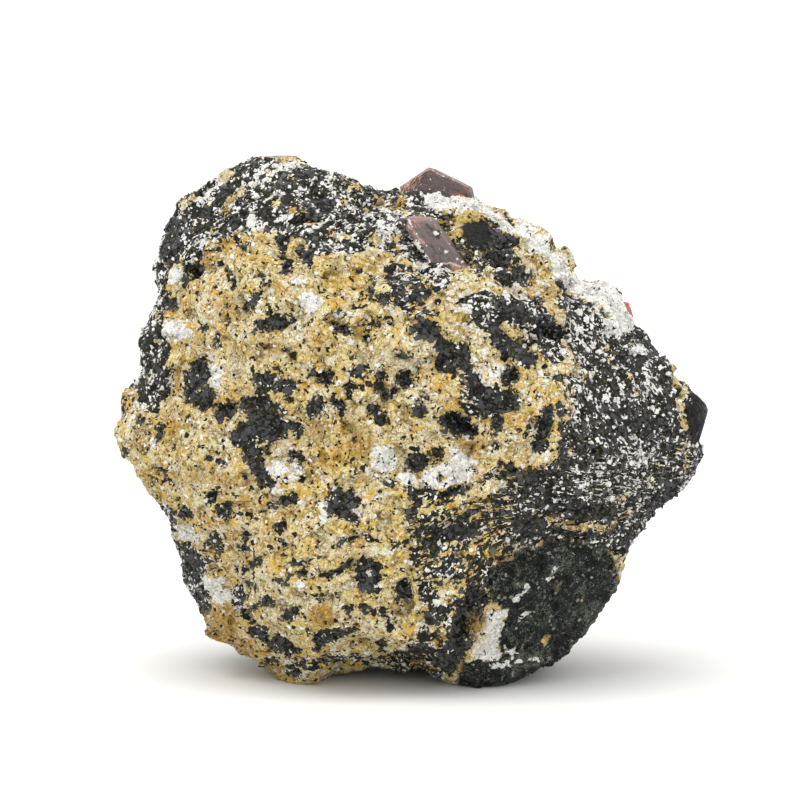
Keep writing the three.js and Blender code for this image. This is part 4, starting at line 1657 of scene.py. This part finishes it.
@dataclass
class Zircon:
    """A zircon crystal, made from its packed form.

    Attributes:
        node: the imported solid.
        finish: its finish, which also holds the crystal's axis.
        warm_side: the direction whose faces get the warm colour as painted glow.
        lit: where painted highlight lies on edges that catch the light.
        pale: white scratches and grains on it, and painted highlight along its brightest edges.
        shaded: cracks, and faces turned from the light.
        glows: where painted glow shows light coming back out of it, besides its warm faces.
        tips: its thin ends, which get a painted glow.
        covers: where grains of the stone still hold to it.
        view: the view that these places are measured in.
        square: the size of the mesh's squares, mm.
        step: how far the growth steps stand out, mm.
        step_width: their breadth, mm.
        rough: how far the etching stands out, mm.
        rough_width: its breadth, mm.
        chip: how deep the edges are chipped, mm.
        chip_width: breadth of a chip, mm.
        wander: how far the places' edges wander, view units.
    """

    node: str
    finish: ZirconFinish
    warm_side: tuple[float, float, float] = (-1.0, 0.0, 0.2)
    lit: tuple = ()
    pale: tuple = ()
    shaded: tuple = ()
    glows: tuple = ()
    tips: tuple = ()
    covers: tuple = ()
    view: ShowView = ShowView()
    square: float = 0.11
    step: float = 0.09
    step_width: float = 0.55
    rough: float = 0.03
    rough_width: float = 0.4
    chip: float = 0.16
    chip_width: float = 0.9
    wander: float = 2.2

    def placed(self, patches: tuple, x: Array, y: Array) -> Array:
        """How far each place is under any of some patches.

        Args:
            patches: patches, streaks and zones.
            x: view units to the right.
            y: view units down.

        Returns:
            Shares from 0 to 1.
        """
        if not patches:
            return np.zeros(len(x))
        return smoothstep(-0.6, 0.4, deepest(patches, x, y))

    def build(self) -> bpy.types.Object:
        """Makes the crystal's mesh.

        Returns:
            The crystal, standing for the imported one.
        """
        skin = remeshed(self.node, self.square)
        normals = skin.normals()
        aim = np.array(self.warm_side) / np.linalg.norm(self.warm_side)
        warm = smoothstep(0.45, 0.85, normals @ aim)
        # Edges are worn unevenly, and chipped here and there.
        points = skin.corners
        softened = skin.relaxed(6)
        edge = np.linalg.norm(softened - points, axis=1)
        wear = smoothstep(-0.3, 0.3, StoneNoise(31).layered(points / 1.4, 3))
        _, chips = StoneNoise(32).broken(points / self.chip_width)
        chipped = smoothstep(0.015, 0.06, edge) * smoothstep(0.55, 0.8, chips)
        points = points + (softened - points) * wear[:, None]
        height = -self.chip * chipped
        # Steps run along the axis, and up the slope of the warm faces.
        for direction, share in ((self.finish.axis, 0.45 * (1 - warm)), (self.finish.striae, warm)):
            along = np.array(direction) / np.linalg.norm(direction)
            drawn = points - 0.85 * (points @ along)[:, None] * along
            steps = StoneNoise(34).layered(drawn / self.step_width, 2)
            height += self.step * share * (np.abs(steps) * 2 - 0.6)
        height += self.rough * StoneNoise(33).layered(points / self.rough_width, 2)
        x, y = self.view.seen(points)
        x = x + self.wander * StoneNoise(35).layered(points / 0.6, 2)
        y = y + self.wander * StoneNoise(37).layered(points / 0.6, 2)
        cover = self.placed(self.covers, x, y)
        height += 0.2 * cover * (1 + StoneNoise(36).smooth(points / 0.3))
        points = points + normals * height[:, None]
        crystal = write_mesh(self.node + "_crystal", points, skin.faces, smooth=True)
        # Painted highlight is stronger on faces turned toward the show view, and chipped edges get it too.
        facing = smoothstep(0.0, 0.4, -normals[:, 1])
        lit = self.placed(self.lit, x, y) * (0.3 + 0.7 * facing)
        found = {
            CrystalFields.WARMTH: np.maximum(warm * 0.75, self.placed(self.glows, x, y) * 0.5),
            CrystalFields.LIT: np.maximum(lit, smoothstep(0.02, 0.07, edge) * 0.6 * chips),
            CrystalFields.PALE: self.placed(self.pale, x, y),
            CrystalFields.SHADED: self.placed(self.shaded, x, y),
            CrystalFields.TIP: self.placed(self.tips, x, y) * 0.85,
            CrystalFields.COVER: cover,
        }
        for name, values in found.items():
            write_field(crystal, name, values)
        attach(crystal, BODY)
        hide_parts(self.node)
        return crystal


# ---- The studio ----


@dataclass
class Studio:
    """The floor, the light and the camera.

    Attributes:
        view: the view that the camera takes.
        floor_size: across the floor, mm.
        sensor: the camera's sensor, mm.
        sky: strength of the light from all round.
        key: strength of the large light above, W.
        fill: strength of the light beside the camera, W.
    """

    view: ShowView = field(default_factory=ShowView)
    floor_size: float = 12000.0
    sensor: float = 36.0
    sky: float = 1.06
    key: float = 2.6
    fill: float = 1.0

    def build(self) -> None:
        """Makes the floor, the lights and the camera."""
        half = self.floor_size / 2 * MM
        mesh = bpy.data.meshes.new("floor")
        corners = [(x * half, y * half, 0) for x, y in ((-1, -1), (1, -1), (1, 1), (-1, 1))]
        mesh.from_pydata(corners, [], [(0, 1, 2, 3)])
        floor = bpy.data.objects.new("floor", mesh)
        bpy.context.scene.collection.objects.link(floor)
        floor.data.materials.append(PaperFinish().build())
        world = bpy.data.worlds.new("studio")
        world.use_nodes = True
        background = world.node_tree.nodes["Background"]
        background.inputs["Color"].default_value = linear("#ffffff")
        background.inputs["Strength"].default_value = self.sky
        bpy.context.scene.world = world
        self.lamp("key", (-0.12, -0.1, 0.62), 0.55, self.key)
        self.lamp("fill", (0.2, -0.6, 0.3), 0.45, self.fill)
        self.camera()
        bpy.context.scene.view_settings.view_transform = "Standard"

    def lamp(self, name: str, place: tuple[float, float, float], size: float, power: float) -> None:
        """Makes a square soft light that faces the stone.

        Args:
            name: its name.
            place: where it hangs, in metres.
            size: its side, in metres.
            power: its power in watts.
        """
        data = bpy.data.lights.new(name, "AREA")
        data.size = size
        data.energy = power
        lamp = bpy.data.objects.new(name, data)
        lamp.location = place
        aim = Vector(self.view.target) * MM - lamp.location
        lamp.rotation_euler = aim.to_track_quat("-Z", "Y").to_euler()
        bpy.context.scene.collection.objects.link(lamp)

    def camera(self) -> None:
        """Makes the camera that sees the show view."""
        eye, _, _, forward = self.view.axes()
        data = bpy.data.cameras.new("camera")
        data.sensor_width = self.sensor
        data.lens = self.sensor * self.view.units_per_mm * self.view.distance / self.view.width
        data.clip_start = 0.01
        data.clip_end = 50.0
        camera = bpy.data.objects.new("camera", data)
        camera.location = Vector(eye) * MM
        camera.rotation_euler = Vector(forward).to_track_quat("-Z", "Y").to_euler()
        bpy.context.scene.collection.objects.link(camera)
        bpy.context.scene.camera = camera


# ---- The whole ----


CRUSTS = (
    (
        Crust(Mineral.FELDSPAR, 3200, 0.16, 0.5, 0.5, 0.45, 0.4, seed=5),
        GrainFinish("feldspar_grain", "#a9853f", "#c9b27a", "#dccfa9", cloudy=0.8),
    ),
    (
        Crust(Mineral.MICA, 11500, 0.25, 0.75, 0.26, 0.35, 0.28, seed=6),
        GrainFinish("mica_flake", "#050505", "#121312", "#343635", smooth=0.25, rough=0.6, ior=1.58),
    ),
    (
        Crust(Mineral.CALCITE, 6600, 0.16, 0.6, 0.6, 0.8, 0.2, seed=7),
        GrainFinish("calcite_grain", "#9c9c96", "#cfcfca", "#e6e6e2"),
    ),
)
CRYSTALS = (
    Zircon(
        "zircon_crest",
        ZirconFinish("zircon_crest_finish", (0.9, 0.1, -0.42)),
        lit=shapes(
            (2.0, (400, 187), (413, 178), (428, 169)), (1.6, (430, 169), (450, 178), (468, 187)),
            (406, 185, 10, 4, -30),
        ),
        shaded=shapes((472, 196, 4, 12, -20), (1.2, (422, 182), (424, 176), (428, 171))),
        tips=shapes(
            (401, 187, 9, 5, -30), (2.2, (465, 187), (468, 192), (470, 200)), (458, 195, 16, 2.5, 12),
        ),
    ),
    Zircon(
        "zircon_slope",
        ZirconFinish("zircon_slope_finish", (0.55, -0.1, -0.8), (0.5, 0.0, -0.85), "#585150", "#835c53"),
        warm_side=(-0.9, 0.0, 0.45),
        lit=shapes(
            (2.0, (402, 222), (403, 219), (414, 217), (431, 218)),
            (1.4, (404, 222), (412, 230), (424, 244)), (459, 268, 20, 8, 20),
        ),
        pale=shapes(
            (1.2, (443, 263), (452, 264), (460, 266)), (1.2, (407, 218), (411, 225)),
            (446, 252, 2.5, 3), (462, 262, 2.5, 2), (457, 259, 2, 3),
        ),
        shaded=shapes(
            (1.6, (430, 245), (433, 249), (436, 253)), (5.0, (454, 244), (464, 256), (472, 266)),
            (3.0, (426, 224), (432, 230), (438, 238)),
        ),
        glows=shapes((411, 223, 18, 12, 20), (457, 273, 24, 7, 12)),
        tips=shapes((403, 223, 7, 11, -15), (418, 219, 16, 2.5, 4)),
        covers=shapes(
            (4.5, (417, 242), (426, 258), (435, 272)), (446, 272, 16, 5, 10), (437, 233, 8, 7, 30),
        ),
    ),
    Zircon(
        "zircon_shoulder",
        ZirconFinish(
            "zircon_shoulder_finish", (0.3, 0.0, 0.95), face="#a5432f", warm="#cf7a5c", deep="#4e1a14"
        ),
        covers=shapes((622, 318, 8, 6)),
    ),
)


def main() -> None:
    """Builds the studio, the stone, its grains and the crystals, and reports each piece."""
    logging.basicConfig(level=logging.INFO, format="%(name)s: %(message)s")
    Studio().build()
    stone = GneissStone()
    pieces = [(stone.build(), GneissFinish())]
    pieces += [(crust.build(stone), finish) for crust, finish in CRUSTS]
    pieces += [(crystal.build(), crystal.finish) for crystal in CRYSTALS]
    for piece, finish in pieces:
        piece.data.materials.append(finish.build())
        log.info("%s: %d faces", piece.name, len(piece.data.polygons))


if __name__ == "__main__":
    main()
